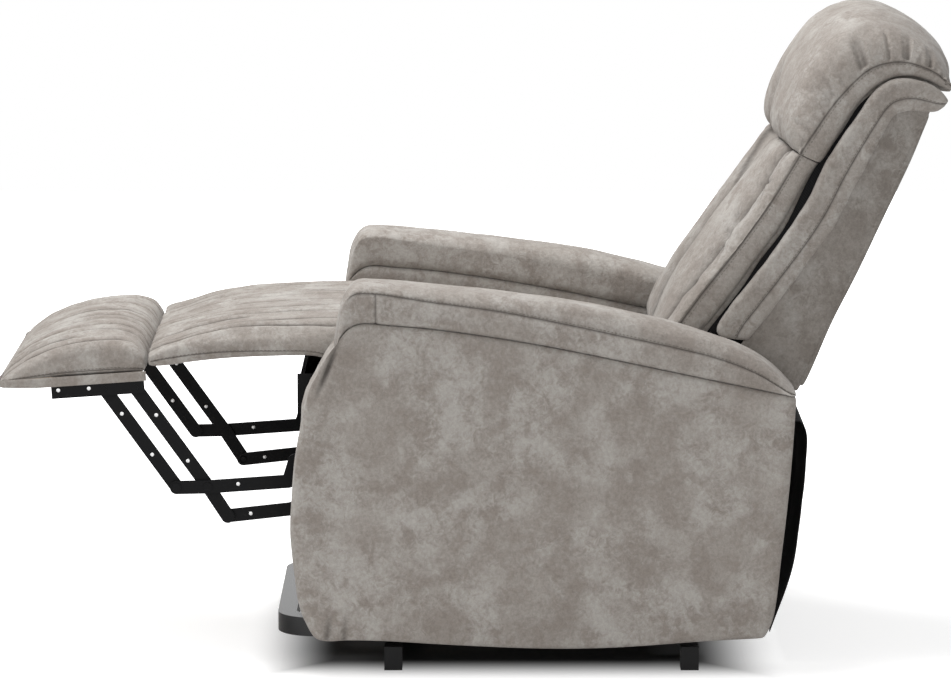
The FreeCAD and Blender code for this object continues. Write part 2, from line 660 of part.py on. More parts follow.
def make_motor(name, prefix, centre_x, shortest, can_drop):
    """Gear housing with its ear, motor can and outer tube."""
    frame = motor_frame(prefix)
    body = new_body(name)
    half_w = "dim.motor_half_width"
    pad_polygon(body, f"{centre_x} - {half_w}", f"{centre_x} + {half_w}",
                rectangle("dim.rod_inside", "dim.motor_housing",
                          "-dim.motor_half_height", "dim.motor_half_height"))
    ear = "dim.motor_ear_half"
    pad_polygon(body, f"{centre_x} - {ear}", f"{centre_x} + {ear}",
                rectangle("0", "dim.rod_inside", "-dim.rod_eye_radius", "dim.rod_eye_radius"))
    pad_disc(body, f"{centre_x} - {ear}", f"{centre_x} + {ear}", ("0", "0"), "dim.rod_eye_radius")
    turned_disc(body, frame, "dim.motor_housing", f"({shortest}) - dim.tube_end_gap",
                "dim.motor_tube_radius", centre_x)
    turned_disc(body, frame, "dim.motor_housing", "dim.motor_housing + dim.motor_can_length",
                "dim.motor_can_radius", centre_x, can_drop)
    pocket_disc(body, f"{centre_x} - {ear}", f"{centre_x} + {ear}", ("0", "0"),
                "dim.motor_pin_radius + dim.pin_fit")
    bore_motor_tube(body, centre_x, f"({shortest}) - dim.tube_end_gap")
    set_motor_placement(body, frame)
    add_node(name, body)


def bore_motor_tube(body, centre_x, mouth):
    """Bore of the outer tube, from the housing's front wall to the tube's mouth."""
    before = body.Shape.Volume
    sketch = body.newObject("Sketcher::SketchObject", body.Name + "_bore")
    plane = [feature for feature in body.Origin.OriginFeatures if feature.Role == "XZ_Plane"][0]
    sketch.AttachmentSupport = [(plane, "")]
    sketch.MapMode = "FlatFace"
    sketch.setExpression("AttachmentOffset.Base.z", f"-({mouth})")
    draw_circle(sketch, (centre_x, "0"), "dim.motor_bore")
    feature = body.newObject("PartDesign::Pocket", body.Name + "_bore_cut")
    feature.Profile = sketch
    feature.Reversed = True
    feature.setExpression("Length", f"({mouth}) - dim.motor_housing - dim.tube_wall")
    DOC.recompute()
    if body.Shape.Volume >= before:
        raise ValueError(f"{body.Name}: the bore removed nothing")


def make_rod(name, prefix, centre_x, shortest, fork_gap):
    """Rod that slides in the motor's tube, with an eye and a fixed pin at its end."""
    frame = motor_frame(prefix)
    length = frame[2]
    body = new_body(name)
    tail = f"{length} - ({shortest}) + dim.motor_housing + dim.rod_inside"
    turned_disc(body, frame, tail, length, "dim.rod_radius", centre_x)
    eye = "dim.rod_eye_half"
    pocket_eye_sides(body, centre_x, length)
    pad_disc(body, f"{centre_x} - {eye}", f"{centre_x} + {eye}", (length, "0"), "dim.rod_eye_radius")
    pin = f"({eye} + {fork_gap} + dim.lug_plate + dim.pin_end)"
    pad_disc(body, f"{centre_x} - {pin}", f"{centre_x} + {pin}", (length, "0"), "dim.motor_pin_radius")
    set_motor_placement(body, frame)
    add_node(name, body)


def pocket_eye_sides(body, centre_x, length):
    """Flatten the rod's end to the thickness of its eye."""
    flat = rectangle(f"{length} - dim.rod_eye_radius * 3", f"{length} + 1",
                     "-dim.rod_radius - 1", "dim.rod_radius + 1")
    eye = "dim.rod_eye_half"
    side = "dim.rod_radius + 1"
    pocket_polygon(body, f"{centre_x} + {eye}", f"{centre_x} + {side}", flat)
    pocket_polygon(body, f"{centre_x} - ({side})", f"{centre_x} - {eye}", flat)


def make_motors():
    lift = motor_frame("lift")[2]
    foot = motor_frame("foot")[2]
    back = motor_frame("back")[2]
    can = "-dim.motor_tube_radius - dim.motor_can_radius"
    upper_can = "dim.motor_tube_radius + dim.motor_can_radius"
    yoke_gap = "(dim.yoke_half_gap - dim.rod_eye_half)"
    for prefix, centre_x, shortest, drop, fork_gap in (
            ("lift", "0", lift, upper_can, yoke_gap),
            ("foot", "dim.foot_motor_x", f"{foot} - dim.foot_stroke", can, "dim.lug_gap"),
            ("back", "dim.back_motor_x", f"{back} - dim.back_stroke_in", can, "dim.lug_gap")):
        make_motor(f"{prefix}_motor", prefix, centre_x, shortest, drop)
        make_rod(f"{prefix}_rod", prefix, centre_x, shortest, fork_gap)


# Chair's side plates, tubes and seat frame

def make_side_plates():
    inner = "dim.arm_inner_x - dim.side_plate"
    margin = "dim.pivot_bracket_margin"
    outline = [
        ("dim.rail_front_y", "dim.rail_front_z"), ("dim.plate_lower_y", "dim.rail_front_z - 8"),
        point("plate_lower"), point("plate_waist"),
        (f"dim.lift_tip_y - {margin} * 1.8", f"dim.lift_tip_z - {margin}"),
        (f"dim.lift_tip_y + {margin} * 1.5", f"dim.lift_tip_z - {margin}"),
        (f"dim.link_tip_y + {margin}", f"dim.link_tip_z - {margin}"),
        point("plate_knee"), ("dim.plate_rear_y", "dim.plate_front_top_z"),
        ("dim.rail_front_y", "dim.plate_front_top_z"),
    ]
    for side_name, side in SIDES:
        name = f"chair_side_plate_{side_name}"
        body = beam(name, *span(side, inner, "dim.arm_inner_x"), outline)
        drive_layer = "dim.outer_bar_x - dim.bar_gap"
        guide_layer = "dim.outer_bar_x - 2 * dim.bar_plate - 2 * dim.bar_gap - dim.bar_gap"
        pad_disc(body, *span(side, drive_layer, inner), point("drive_hub"), "dim.bar_pin_radius")
        pad_disc(body, *span(side, guide_layer, inner), point("guide_hub"), "dim.bar_pin_radius")
        pad_disc(body, *span(side, "dim.hinge_plate_x + dim.hinge_plate + 2", inner), point("back_hub"),
                 "dim.hinge_pin_radius")
        add_node(name, body)


def make_pivot_posts():
    """Spacer and pin in one turned piece, from the side plate to each lift bar."""
    wall = "dim.arm_inner_x - dim.side_plate"
    posts = []
    for side_name, side in SIDES:
        for tip, layer in (("lift_tip", "dim.lift_arm_x"), ("link_tip", "dim.lift_link_x")):
            body = new_body(f"{tip}_post_{side_name}")
            face = f"{layer} + dim.lift_plate + dim.post_gap"
            pad_disc(body, *span(side, face, wall), point(tip), "dim.post_radius")
            pad_disc(body, *span(side, f"{layer} - dim.pin_end", face), point(tip), "dim.lift_pin_radius")
            posts.append(body)
    join_as_node("chair_pivot_posts", posts)


def make_chair_tube(name, tube, mount, centre_x):
    """Round tube between the side plates, with two ears and a pin for a motor."""
    wall = "dim.arm_inner_x - dim.side_plate"
    body = new_body(name)
    pad_disc(body, f"-({wall})", wall, tube, "dim.chair_tube_radius")
    inner = "dim.motor_ear_half + dim.lug_gap"
    for low, high in fork_plates(centre_x, inner):
        pad_bar(body, low, high, tube, mount, "dim.crank_margin")
    pin = f"{inner} + dim.lug_plate"
    pad_disc(body, f"{centre_x} - ({pin})", f"{centre_x} + {pin}", mount, "dim.motor_pin_radius")
    pocket_disc(body, f"-({wall})", wall, tube, "dim.chair_tube_radius - dim.chair_tube_wall")
    add_node(name, body)


def seat_line(y, offset):
    """Height of a line that falls from the front rail's top to the rear rail's top."""
    return (f"dim.rail_front_z + dim.rail_height + {offset} + "
            f"(dim.rail_rear_z + dim.rail_rear_height - dim.rail_front_z - dim.rail_height)"
            f" * (({y}) - dim.rail_front_y - dim.rail_depth)"
            " / (dim.rail_rear_y - dim.rail_front_y - dim.rail_depth)")


def make_seat_frame():
    """Four wooden rails: front, rear and two that slope between them."""
    wall = "dim.arm_inner_x - dim.side_plate"
    front = beam("seat_front_rail", f"-({wall})", wall,
                 rectangle("dim.rail_front_y", "dim.rail_front_y + dim.rail_depth",
                           "dim.rail_front_z", "dim.rail_front_z + dim.rail_height"))
    rear = beam("seat_rear_rail", f"-({wall})", wall,
                rectangle("dim.rail_rear_y", "dim.rail_rear_y + dim.rail_depth",
                          "dim.rail_rear_z", "dim.rail_rear_z + dim.rail_rear_height"))
    rails = [front, rear]
    begin, finish = "dim.rail_front_y + dim.rail_depth", "dim.rail_rear_y"
    depth = "-dim.rail_rear_height"
    outline = [(begin, seat_line(begin, depth)), (finish, seat_line(finish, depth)),
               (finish, seat_line(finish, "0")), (begin, seat_line(begin, "0"))]
    for side_name, side in SIDES:
        rails.append(beam(f"seat_side_rail_{side_name}",
                          *span(side, f"{wall} - dim.seat_side_rail", wall), outline))
    join_as_node("seat_frame", rails)


def make_seat_webbing():
    """Elastic straps from the front rail to the rear rail."""
    begin, finish = "dim.rail_front_y + dim.rail_depth / 2", "dim.rail_rear_y + dim.rail_depth / 2"
    lower = [(begin, "dim.rail_front_z + dim.rail_height"),
             ("dim.rail_front_y + dim.rail_depth", "dim.rail_front_z + dim.rail_height"),
             ("dim.rail_rear_y", "dim.rail_rear_z + dim.rail_rear_height"),
             (finish, "dim.rail_rear_z + dim.rail_rear_height")]
    upper = [(y, f"{z} + dim.web_thickness") for y, z in reversed(lower)]
    count = int(size("web_count"))
    straps = []
    for index in range(count):
        share = f"({2 * index + 1 - count} / {count})"
        middle = f"{share} * (dim.arm_inner_x - dim.side_plate - dim.seat_side_rail)"
        straps.append(beam(f"seat_strap_{index + 1}", f"{middle} - dim.web_width / 2",
                           f"{middle} + dim.web_width / 2", lower + upper))
    join_as_node("seat_webbing", straps)


def seat_section(x, crown, draw):
    """Side-view outline of the seat cushion, with the overhang in front of the front rail."""
    inset = draw * size("pad_draw")
    drop = (1 - crown) * size("seat_crown")
    gap = size("knee_gap")
    notch = math.tan(math.radians(size("knee_notch")))
    depth = size("knee_z") - size("knee_bottom_z")
    lift = size("web_thickness") + size("soft_gap")
    knee_y = size("knee_y") + gap
    fall_y = size("seat_inner_y")
    front_z = size("rail_front_z") + size("rail_height") + lift
    rear_z = size("rail_rear_z") + size("rail_rear_height") + lift

    def at(y, z):
        return Vector(x, y, z)

    path = Path(at(knee_y, size("knee_z")))
    path.line(at(knee_y + notch * depth, size("knee_bottom_z") + inset * 0.5))
    path.line(at(size("seat_ledge_y"), size("knee_bottom_z") + inset * 0.5))
    path.line(at(fall_y, front_z))
    path.line(at(size("seat_rear_y") - 10, rear_z))
    path.line(at(size("seat_rear_y"), rear_z + 10))
    path.line(at(size("seat_rear_y"), size("seat_rear_z") - size("seat_corner") - drop))
    path.arc(at(size("seat_rear_y") - 7, size("seat_rear_z") - 7 - drop),
             at(size("seat_rear_y") - size("seat_corner"), size("seat_rear_z") - drop))
    path.arc(at(size("seat_slope_y"), size("seat_slope_z") - drop),
             at(size("seat_crest_y"), size("seat_crest_z") - drop))
    path.line(at(knee_y, size("knee_top_z") - drop))
    return path.close()


def make_seat_cushion():
    cushion = soft_loft(pad_half_width(), seat_section)
    add_node("seat_cushion", make_feature("seat_cushion", cushion))


def make_front_panel():
    """Black cloth that closes the chair under the front of the seat."""
    add_node("front_dust_panel", beam(
        "front_dust_panel", "-dim.panel_half_width", "dim.panel_half_width",
        rectangle("dim.rail_front_y - dim.panel_thickness", "dim.rail_front_y",
                  "dim.panel_bottom_z", "dim.knee_bottom_z - dim.panel_thickness")))


# Footrest linkage

def bar_layer(index):
    """Inner and outer X of the footrest's bars, from 0 beside the side plate inwards."""
    step = f"{index} * (dim.bar_plate + dim.bar_gap)"
    inner = f"dim.outer_bar_x - {step}"
    return (inner, f"{inner} + dim.bar_plate")


def make_footrest_bars():
    """Drive link outside, levers in the middle layer and guide link inside."""
    outer, middle, inner = bar_layer(0), bar_layer(1), bar_layer(2)
    pin = "dim.bar_pin_radius"
    hole = f"{pin} + dim.pin_fit"
    bars = {"drive": [], "guide": [], "main": [], "steady": []}
    for side_name, side in SIDES:
        drive = new_body(f"drive_link_{side_name}")
        pad_bar(drive, *span(side, *outer), point("drive_hub"), point("drive_elbow"), "dim.bar_half")
        pad_bar(drive, *span(side, *outer), point("drive_elbow"), point("drive_crook"), "dim.bar_half")
        pad_bar(drive, *span(side, *outer), point("drive_crook"), point("drive_mid"), "dim.bar_half")
        pad_bar(drive, *span(side, *outer), point("drive_mid"), point("drive_end"), "dim.bar_half")
        pocket_disc(drive, *span(side, *outer), point("drive_hub"), hole)
        for end in ("drive_mid", "drive_end"):
            pad_disc(drive, *span(side, f"{middle[0]} - dim.bar_gap / 2", outer[0]), point(end), pin)
            pad_disc(drive, *span(side, outer[1], f"{outer[1]} + dim.rivet_head"), point(end),
                     "dim.rivet_radius")
        bars["drive"].append(drive)

        guide = new_body(f"guide_link_{side_name}")
        pad_bar(guide, *span(side, *inner), point("guide_hub"), point("guide_elbow"), "dim.bar_half")
        pad_bar(guide, *span(side, *inner), point("guide_elbow"), point("guide_end"), "dim.bar_half")
        pocket_disc(guide, *span(side, *inner), point("guide_hub"), hole)
        pocket_disc(guide, *span(side, *inner), point("guide_end"), f"{pin} + dim.open_bar_fit")
        bars["guide"].append(guide)

        main = new_body(f"main_lever_{side_name}")
        pad_bar(main, *span(side, *middle), point("drive_mid"), point("main_top"), "dim.bar_half")
        pad_bar(main, *span(side, *middle), point("guide_end"), point("drive_mid"), "dim.bar_half")
        pocket_disc(main, *span(side, *middle), point("drive_mid"), hole)
        pad_disc(main, *span(side, f"{inner[0]} - dim.bar_gap / 2", middle[0]), point("guide_end"), pin)
        pad_disc(main, *span(side, middle[1], f"{outer[1]} + dim.bar_gap / 2"), point("main_top"), pin)
        bars["main"].append(main)

        steady = new_body(f"steady_lever_{side_name}")
        pad_bar(steady, *span(side, *middle), point("drive_end"), point("steady_top"), "dim.bar_half")
        pocket_disc(steady, *span(side, *middle), point("drive_end"), hole)
        pad_disc(steady, *span(side, middle[1], f"{outer[1]} + dim.bar_gap / 2"), point("steady_top"), pin)
        bars["steady"].append(steady)
    join_as_node("footrest_drive_links", bars["drive"])
    join_as_node("footrest_guide_links", bars["guide"])
    join_as_node("footrest_main_levers", bars["main"])
    join_as_node("footrest_steady_levers", bars["steady"])


def make_footrest_crank():
    make_crank("footrest_crank_tube", point("drive_hub"), point("foot_push"), "dim.post_radius",
               "dim.bar_pin_radius + dim.crank_bore_extra", "dim.outer_bar_x", "dim.foot_motor_x",
               ("dim.foot_slot_length", "dim.foot_slot_slack", "0"))


def make_footrest_brackets():
    """Angle irons under the footrest board, with holes for both levers."""
    outer = bar_layer(0)
    origin, angle = point("main_top"), "dim.footrest_slope"
    top = "dim.footrest_flange_z + dim.footrest_flange"
    brackets = []
    for side_name, side in SIDES:
        body = new_body(f"footrest_bracket_{side_name}")
        edges = span(side, *outer)
        pad_polygon(body, *edges, rectangle("dim.footrest_bracket_front", "dim.footrest_bracket_rear",
                                            "-dim.footrest_bracket_drop", top), origin, angle)
        pad_polygon(body, *span(side, f"{outer[1]} - dim.footrest_flange_width", outer[0]),
                    rectangle("dim.footrest_bracket_front", "dim.footrest_bracket_rear",
                              "dim.footrest_flange_z", top), origin, angle)
        for end in ("main_top", "steady_top"):
            pocket_disc(body, *edges, point(end), "dim.bar_pin_radius + dim.pin_fit")
        brackets.append(body)
    join_as_node("footrest_brackets", brackets)


def make_footrest_board():
    bottom = "dim.footrest_flange_z + dim.footrest_flange"
    add_node("footrest_board", beam(
        "footrest_board", "-dim.footrest_board_x", "dim.footrest_board_x",
        rectangle("dim.footrest_board_front", "dim.footrest_board_rear", bottom,
                  f"{bottom} + dim.footrest_board"),
        point("main_top"), "dim.footrest_slope"))


def footpad_section(x, crown, draw):
    """Outline of the footrest pad, along and above the line of its brackets."""
    inset = draw * size("pad_draw")
    drop = (1 - crown) * size("pad_crown")
    bottom = size("footrest_flange_z") + size("footrest_flange") + size("soft_gap") + inset * 0.4
    rear = size("footpad_rear") - inset * 0.4
    front = size("footpad_front") + inset

    def at(along, up):
        return Vector(x, along, up)

    path = Path(at(rear, bottom))
    path.line(at(front + 16, bottom))
    path.arc(at(front + 2, bottom + 7), at(front + 7, size("footpad_nose_z") - drop * 0.4))
    path.arc(at(front + 45, size("footpad_nose_z") + 27 - drop * 0.8),
             at(size("footpad_rise_u"), size("footpad_rise_z") - drop))
    path.arc(at(size("footpad_crown_u"), size("footpad_crown_z") - drop),
             at(rear - 11, size("footpad_rear_z") + 9 - drop))
    path.line(at(rear, size("footpad_rear_z") - drop))
    return path.close()


def make_footrest_pad():
    """Padded top of the footrest, recessed over its board."""
    gap = size("soft_gap")
    cushion = soft_loft(pad_half_width(), footpad_section)
    bottom = size("footrest_flange_z") + size("footrest_flange")
    length = size("footrest_board_rear") - size("footrest_board_front") + 2 * gap
    recess = Part.makeBox(2 * (size("footrest_board_x") + gap), length, size("footrest_board") + gap + 1,
                          Vector(-size("footrest_board_x") - gap, size("footrest_board_front") - gap,
                                 bottom - 1))
    placement = Placement(Vector(0, size("main_top_y"), size("main_top_z")),
                          Rotation(X_AXIS, size("footrest_slope")))
    add_node("footrest_pad", make_feature("footrest_pad", cushion.cut(recess), placement))


def calf_section(x, crown, draw):
    """Outline of the calf pad, with the notch that lets it fold down in front of the seat."""
    inset = draw * size("pad_draw")
    drop = (1 - crown) * size("pad_crown")
    knee_y = size("knee_y") - size("knee_gap")
    notch = math.tan(math.radians(size("knee_notch")))
    depth = size("knee_z") - size("knee_bottom_z")
    front = size("calf_front_y") + inset * 0.4

    def at(y, z):
        return Vector(x, y, z)

    path = Path(at(knee_y, size("knee_z")))
    path.line(at(knee_y - notch * depth, size("knee_bottom_z") + inset * 0.5))
    path.line(at(front, size("calf_front_bottom_z") + inset * 0.5))
    path.line(at(front, size("calf_front_top_z") - drop))
    path.line(at(front + 12, size("calf_shoulder_z") - drop))
    path.arc(at(size("calf_mid_y"), size("calf_mid_z") - drop), at(knee_y, size("knee_top_z") - drop))
    return path.close()


def make_calf_pad():
    cushion = soft_loft(pad_half_width(), calf_section)
    add_node("calf_pad", make_feature("calf_pad", cushion))


# Arms

def arm_front(x, shift, rising):
    """Front curve of an arm at X = x, moved back by shift, drawn up or down."""
    names = ("hem_front", "toe", "shin", "belly", "bulge", "chest", "shoulder", "neck")
    places = [Vector(x, size(f"arm_{name}_y") + shift, size(f"arm_{name}_z")) for name in names]
    return places if rising else places[::-1]


def draw_arm_front(path, places):
    """Line at the toe, then three arcs; or the same backwards."""
    if places[0].z < places[-1].z:
        path.line(places[1])
        order = ((2, 3), (4, 5), (6, 7))
    else:
        order = ((1, 2), (3, 4), (5, 6))
    for middle, end in order:
        path.arc(places[middle], places[end])
    if places[0].z > places[-1].z:
        path.line(places[7])
    return path


def arm_outline(x):
    """Whole side of an arm below its pad."""
    def at(name):
        return Vector(x, size(f"arm_{name}_y"), size(f"arm_{name}_z"))

    path = Path(at("hem_front"))
    draw_arm_front(path, arm_front(x, 0, True))
    path.line(at("top"))
    path.line(at("crest"))
    path.arc(at("seam"), at("tail"))
    path.arc(at("heel"), at("hem_rear"))
    path.arc(at("hem_mid"), at("hem_front"))
    return path.close()


def make_arm_boards():
    inner, outer = size("arm_inner_x"), size("arm_outer_x")
    for side_name, side in SIDES:
        for kind, low, high in (("inner", inner, inner + size("arm_inner_board")),
                                ("outer", outer - size("arm_outer_board"), outer)):
            shape = solid_between(arm_outline(side * low), side * low, side * high)
            if kind == "outer" and side == RIGHT:
                shape = shape.cut(handset_box(0, 0))
            name = f"arm_{kind}_board_{side_name}"
            add_node(name, make_feature(name, shape))


def make_arm_fronts():
    """Curved front of each arm, between its two boards."""
    low = size("arm_inner_x") + size("arm_inner_board")
    high = size("arm_outer_x") - size("arm_outer_board")
    boards = []
    for side_name, side in SIDES:
        x = side * low
        path = Path(arm_front(x, 0, True)[0])
        draw_arm_front(path, arm_front(x, 0, True))
        back = arm_front(x, size("arm_front_board"), False)
        path.line(back[0])
        draw_arm_front(path, back)
        board = solid_between(path.close(), x, side * high)
        boards.append(make_feature(f"arm_front_board_{side_name}", board))
    join_as_node("arm_front_boards", boards)


def arm_seam_height(y):
    """Height of the seam under the arm pad, on the same lines and arc as the boards."""
    top = Vector(0, size("arm_top_y"), size("arm_top_z"))
    crest = Vector(0, size("arm_crest_y"), size("arm_crest_z"))
    if y <= crest.y:
        return top.z + (crest.z - top.z) * (y - top.y) / (crest.y - top.y)
    seam = Part.Arc(crest, Vector(0, size("arm_seam_y"), size("arm_seam_z")),
                    Vector(0, size("arm_tail_y"), size("arm_tail_z")))
    cut = seam.toShape().common(Part.makeBox(2, 0.01, 2000, Vector(-1, y - 0.005, -500)))
    return cut.BoundBox.Center.z


# Share of the way from the arm's nose to its crest, then from its crest to its tail,
# and of the full height there
ARM_NOSE_STATIONS = ((0.0, 0.12), (0.05, 0.35), (0.09, 0.55), (0.2, 0.93), (0.36, 0.94), (1.0, 0.98))
ARM_TAIL_STATIONS = ((0.19, 1.04), (0.36, 1.08), (0.5, 1.1), (0.63, 1.07), (0.8, 0.95), (0.905, 0.66),
                     (0.96, 0.36), (0.99, 0.12))


def arm_pad_section(side, y, share):
    """Section of an arm pad across the arm."""
    inner = size("arm_inner_x") - size("arm_pad_overhang")
    outer = size("arm_outer_x")
    bottom = arm_seam_height(max(y, size("arm_top_y"))) + size("soft_gap")
    height = max(size("arm_pad_height") * share, size("arm_pad_tail_height"))
    wall = height * 0.62
    middle = (inner + outer) / 2

    def at(x, up):
        return Vector(side * x, y, bottom + up)

    path = Path(at(inner + size("arm_pad_overhang"), 0))
    path.line(at(outer, 0))
    path.line(at(outer, wall * 0.8))
    path.arc(at(outer - 9, wall + (height - wall) * 0.45), at(outer - 24, wall + (height - wall) * 0.8))
    path.arc(at(middle, height + size("arm_pad_rise") * share), at(inner + 22, wall + (height - wall) * 0.9))
    path.arc(at(inner + 7, wall + (height - wall) * 0.5), at(inner, wall * 0.8))
    return path.close()


def make_arm_pads():
    nose, crest, tail = size("arm_pad_nose_y"), size("arm_crest_y"), size("arm_tail_y")
    places = [(nose + share * (crest - nose), height) for share, height in ARM_NOSE_STATIONS]
    places += [(crest + share * (tail - crest), height) for share, height in ARM_TAIL_STATIONS]
    for side_name, side in SIDES:
        name = f"arm_pad_{side_name}"
        add_node(name, make_feature(name, loft([arm_pad_section(side, y, height) for y, height in places])))


def make_arm_rails():
    """Wooden rails between the boards of each arm."""
    inner = "dim.arm_inner_x + dim.arm_inner_board"
    outer = "dim.arm_outer_x - dim.arm_outer_board"
    rails = []
    for side_name, side in SIDES:
        for place in ("front", "rear"):
            low_y, low_z = f"dim.arm_{place}_rail_y", f"dim.arm_{place}_rail_z"
            rails.append(beam(f"arm_{place}_rail_{side_name}", *span(side, inner, outer),
                              rectangle(low_y, f"{low_y} + dim.arm_rail_width",
                                        low_z, f"{low_z} + dim.arm_rail_height")))
    join_as_node("arm_rails", rails)


# Rear rail and hanging cloth

def make_tail_rail():
    add_node("chair_tail_rail", beam(
        "chair_tail_rail", "-dim.arm_inner_x", "dim.arm_inner_x",
        rectangle("dim.tail_rail_y", "dim.tail_rail_y + dim.tail_rail_depth",
                  "dim.tail_rail_z", "dim.tail_rail_z + dim.tail_rail_height")))


def cloth_section(x, fold):
    """Side-view strip of the rear cloth, from its hook over the rear rail to its hem."""
    thick = size("cloth_thickness")
    hook_y = size("tail_rail_y") + size("tail_rail_depth")
    top_z = size("tail_rail_z") + size("tail_rail_height")

    def at(y, z):
        return Vector(x, y, z)

    path = Path(at(hook_y, top_z - thick))
    path.line(at(size("cloth_top_y"), size("cloth_top_z") - thick))
    path.arc(at(size("cloth_bulge_y") + fold, size("cloth_bulge_z")),
             at(size("cloth_hem_y") + fold * 0.5, size("cloth_hem_z")))
    path.line(at(size("cloth_hem_y") + thick + fold * 0.5, size("cloth_hem_z")))
    path.arc(at(size("cloth_bulge_y") + thick + fold, size("cloth_bulge_z")),
             at(size("cloth_top_y") + thick, size("cloth_top_z")))
    path.line(at(hook_y, top_z))
    return path.close()


def make_rear_cloth():
    half = size("cloth_half_width")
    steps = 4 * int(size("cloth_folds"))
    sections = []
    for index in range(steps + 1):
        x = -half + 2 * half * index / steps
        fold = size("cloth_fold_depth") * math.sin(math.pi * index / 2)
        sections.append(cloth_section(x, fold))
    add_node("rear_dust_cloth", make_feature("rear_dust_cloth", loft(sections)))


# Back

def back_at(x, along, normal, angle_name="back_angle"):
    """Place in the chair of a point along and in front of the back's line through its hinge."""
    lean = math.radians(size(angle_name))
    y = size("back_hub_y") + along * math.sin(lean) - normal * math.cos(lean)
    z = size("back_hub_z") + along * math.cos(lean) + normal * math.sin(lean)
    return Vector(x, y, z)


def back_angle(name):
    """Angle above +Y of the back's own upward line, as an expression for a sketch."""
    return f"90 - dim.{name}"


def beam_on_back(name, low, high, corners, angle_name="back_angle"):
    """Member of the back; corners are (along, normal) pairs of expressions."""
    return beam(name, low, high, corners, point("back_hub"), back_angle(angle_name))


def make_back_boards():
    rear, board = "dim.back_rear_n", "dim.back_board"
    half = "dim.back_half_width"
    add_node("back_rear_board", beam_on_back(
        "back_rear_board", f"-{half}", half,
        [("dim.back_foot_rear", rear), ("dim.back_foot_rear", f"{rear} + {board}"),
         ("dim.back_head_rear", f"{rear} + {board}"), ("dim.back_head_rear", rear)]))
    side_outline = [("dim.back_foot_rear", f"{rear} + {board}"),
                    ("dim.back_foot_front", "dim.back_foot_front_n"),
                    ("dim.back_head_front", "dim.back_head_front_n"),
                    ("dim.back_head_rear", f"{rear} + {board}")]
    inner = f"{half} - dim.back_side_board"
    sides = [beam_on_back(f"back_side_board_{side_name}", *span(side, inner, half), side_outline)
             for side_name, side in SIDES]
    join_as_node("back_side_boards", sides)


def head_line(path, x, shift):
    """Curve over the top of the back that the wings and the collar share and the pillow lies on."""
    path.arc(back_at(x, size("collar_brow") + shift, size("collar_brow_n") + shift),
             back_at(x, size("collar_crest") + shift, size("collar_crest_n") + shift))
    return path


def wing_outline(x):
    """Padded wing along the front edge of the back's side, flared into the collar at its head."""
    gap = size("soft_gap")
    foot_front = size("back_foot_front_n") + size("wing_depth")
    path = Path(back_at(x, size("back_foot_front"), size("back_foot_front_n") + gap))
    path.arc(back_at(x, size("back_foot_front") - 4, foot_front - 12),
             back_at(x, size("wing_foot"), foot_front))
    path.line(back_at(x, size("wing_head"), size("wing_head_n")))
    head_line(path, x, 0)
    path.line(back_at(x, size("collar_tip"), size("collar_tip_n")))
    path.line(back_at(x, size("collar_under"), size("collar_tip_n")))
    path.line(back_at(x, size("back_head_rear") + gap, size("back_head_rear_n")))
    path.line(back_at(x, size("back_head_front") + gap, size("back_head_front_n") + gap))
    return path.close()


def make_wings():
    outer = size("wing_outer_x")
    inner = outer - size("wing_width")
    wings = [make_feature(f"back_wing_{side_name}",
                          solid_between(wing_outline(side * inner), side * inner, side * outer))
             for side_name, side in SIDES]
    join_as_node("back_wings", wings)


def make_collar():
    """Roll across the top of the back, between the wings and on the rear board."""
    gap = size("soft_gap")
    half = size("wing_outer_x") - size("wing_width") - gap
    board_front = size("back_rear_n") + size("back_board") + gap
    path = Path(back_at(-half, size("wing_head"), size("wing_head_n")))
    head_line(path, -half, 0)
    path.line(back_at(-half, size("collar_tip"), size("collar_tip_n")))
    path.line(back_at(-half, size("collar_under"), size("collar_tip_n")))
    path.line(back_at(-half, size("back_head_rear") + gap, size("back_rear_n") + gap))
    path.line(back_at(-half, size("back_head_rear") + gap, board_front))
    path.line(back_at(-half, size("wing_head"), board_front))
    add_node("back_collar", make_feature("back_collar", solid_between(path.close(), -half, half)))


def make_back_frame():
    """Two uprights and three cross rails behind them, on the plane of the back cushion."""
    face = "dim.upright_face"
    rear = f"{face} - dim.upright_depth"
    members = []
    for side_name, side in SIDES:
        outline = [("dim.upright_foot", face), ("dim.upright_head", face),
                   ("dim.upright_head", rear), ("dim.upright_foot", rear)]
        members.append(beam_on_back(f"back_upright_{side_name}",
                                    *span(side, "dim.upright_x", "dim.upright_x + dim.upright_width"),
                                    outline, "frame_angle"))
    half = "(dim.back_half_width - dim.back_side_board)"
    for place in ("low", "mid", "high"):
        start = f"dim.back_rail_{place}"
        outline = [(start, rear), (f"{start} + dim.back_rail_height", rear),
                   (f"{start} + dim.back_rail_height", f"{rear} - dim.back_rail_depth"),
                   (start, f"{rear} - dim.back_rail_depth")]
        members.append(beam_on_back(f"back_rail_{place}", f"-{half}", half, outline, "frame_angle"))
    join_as_node("back_frame", members)


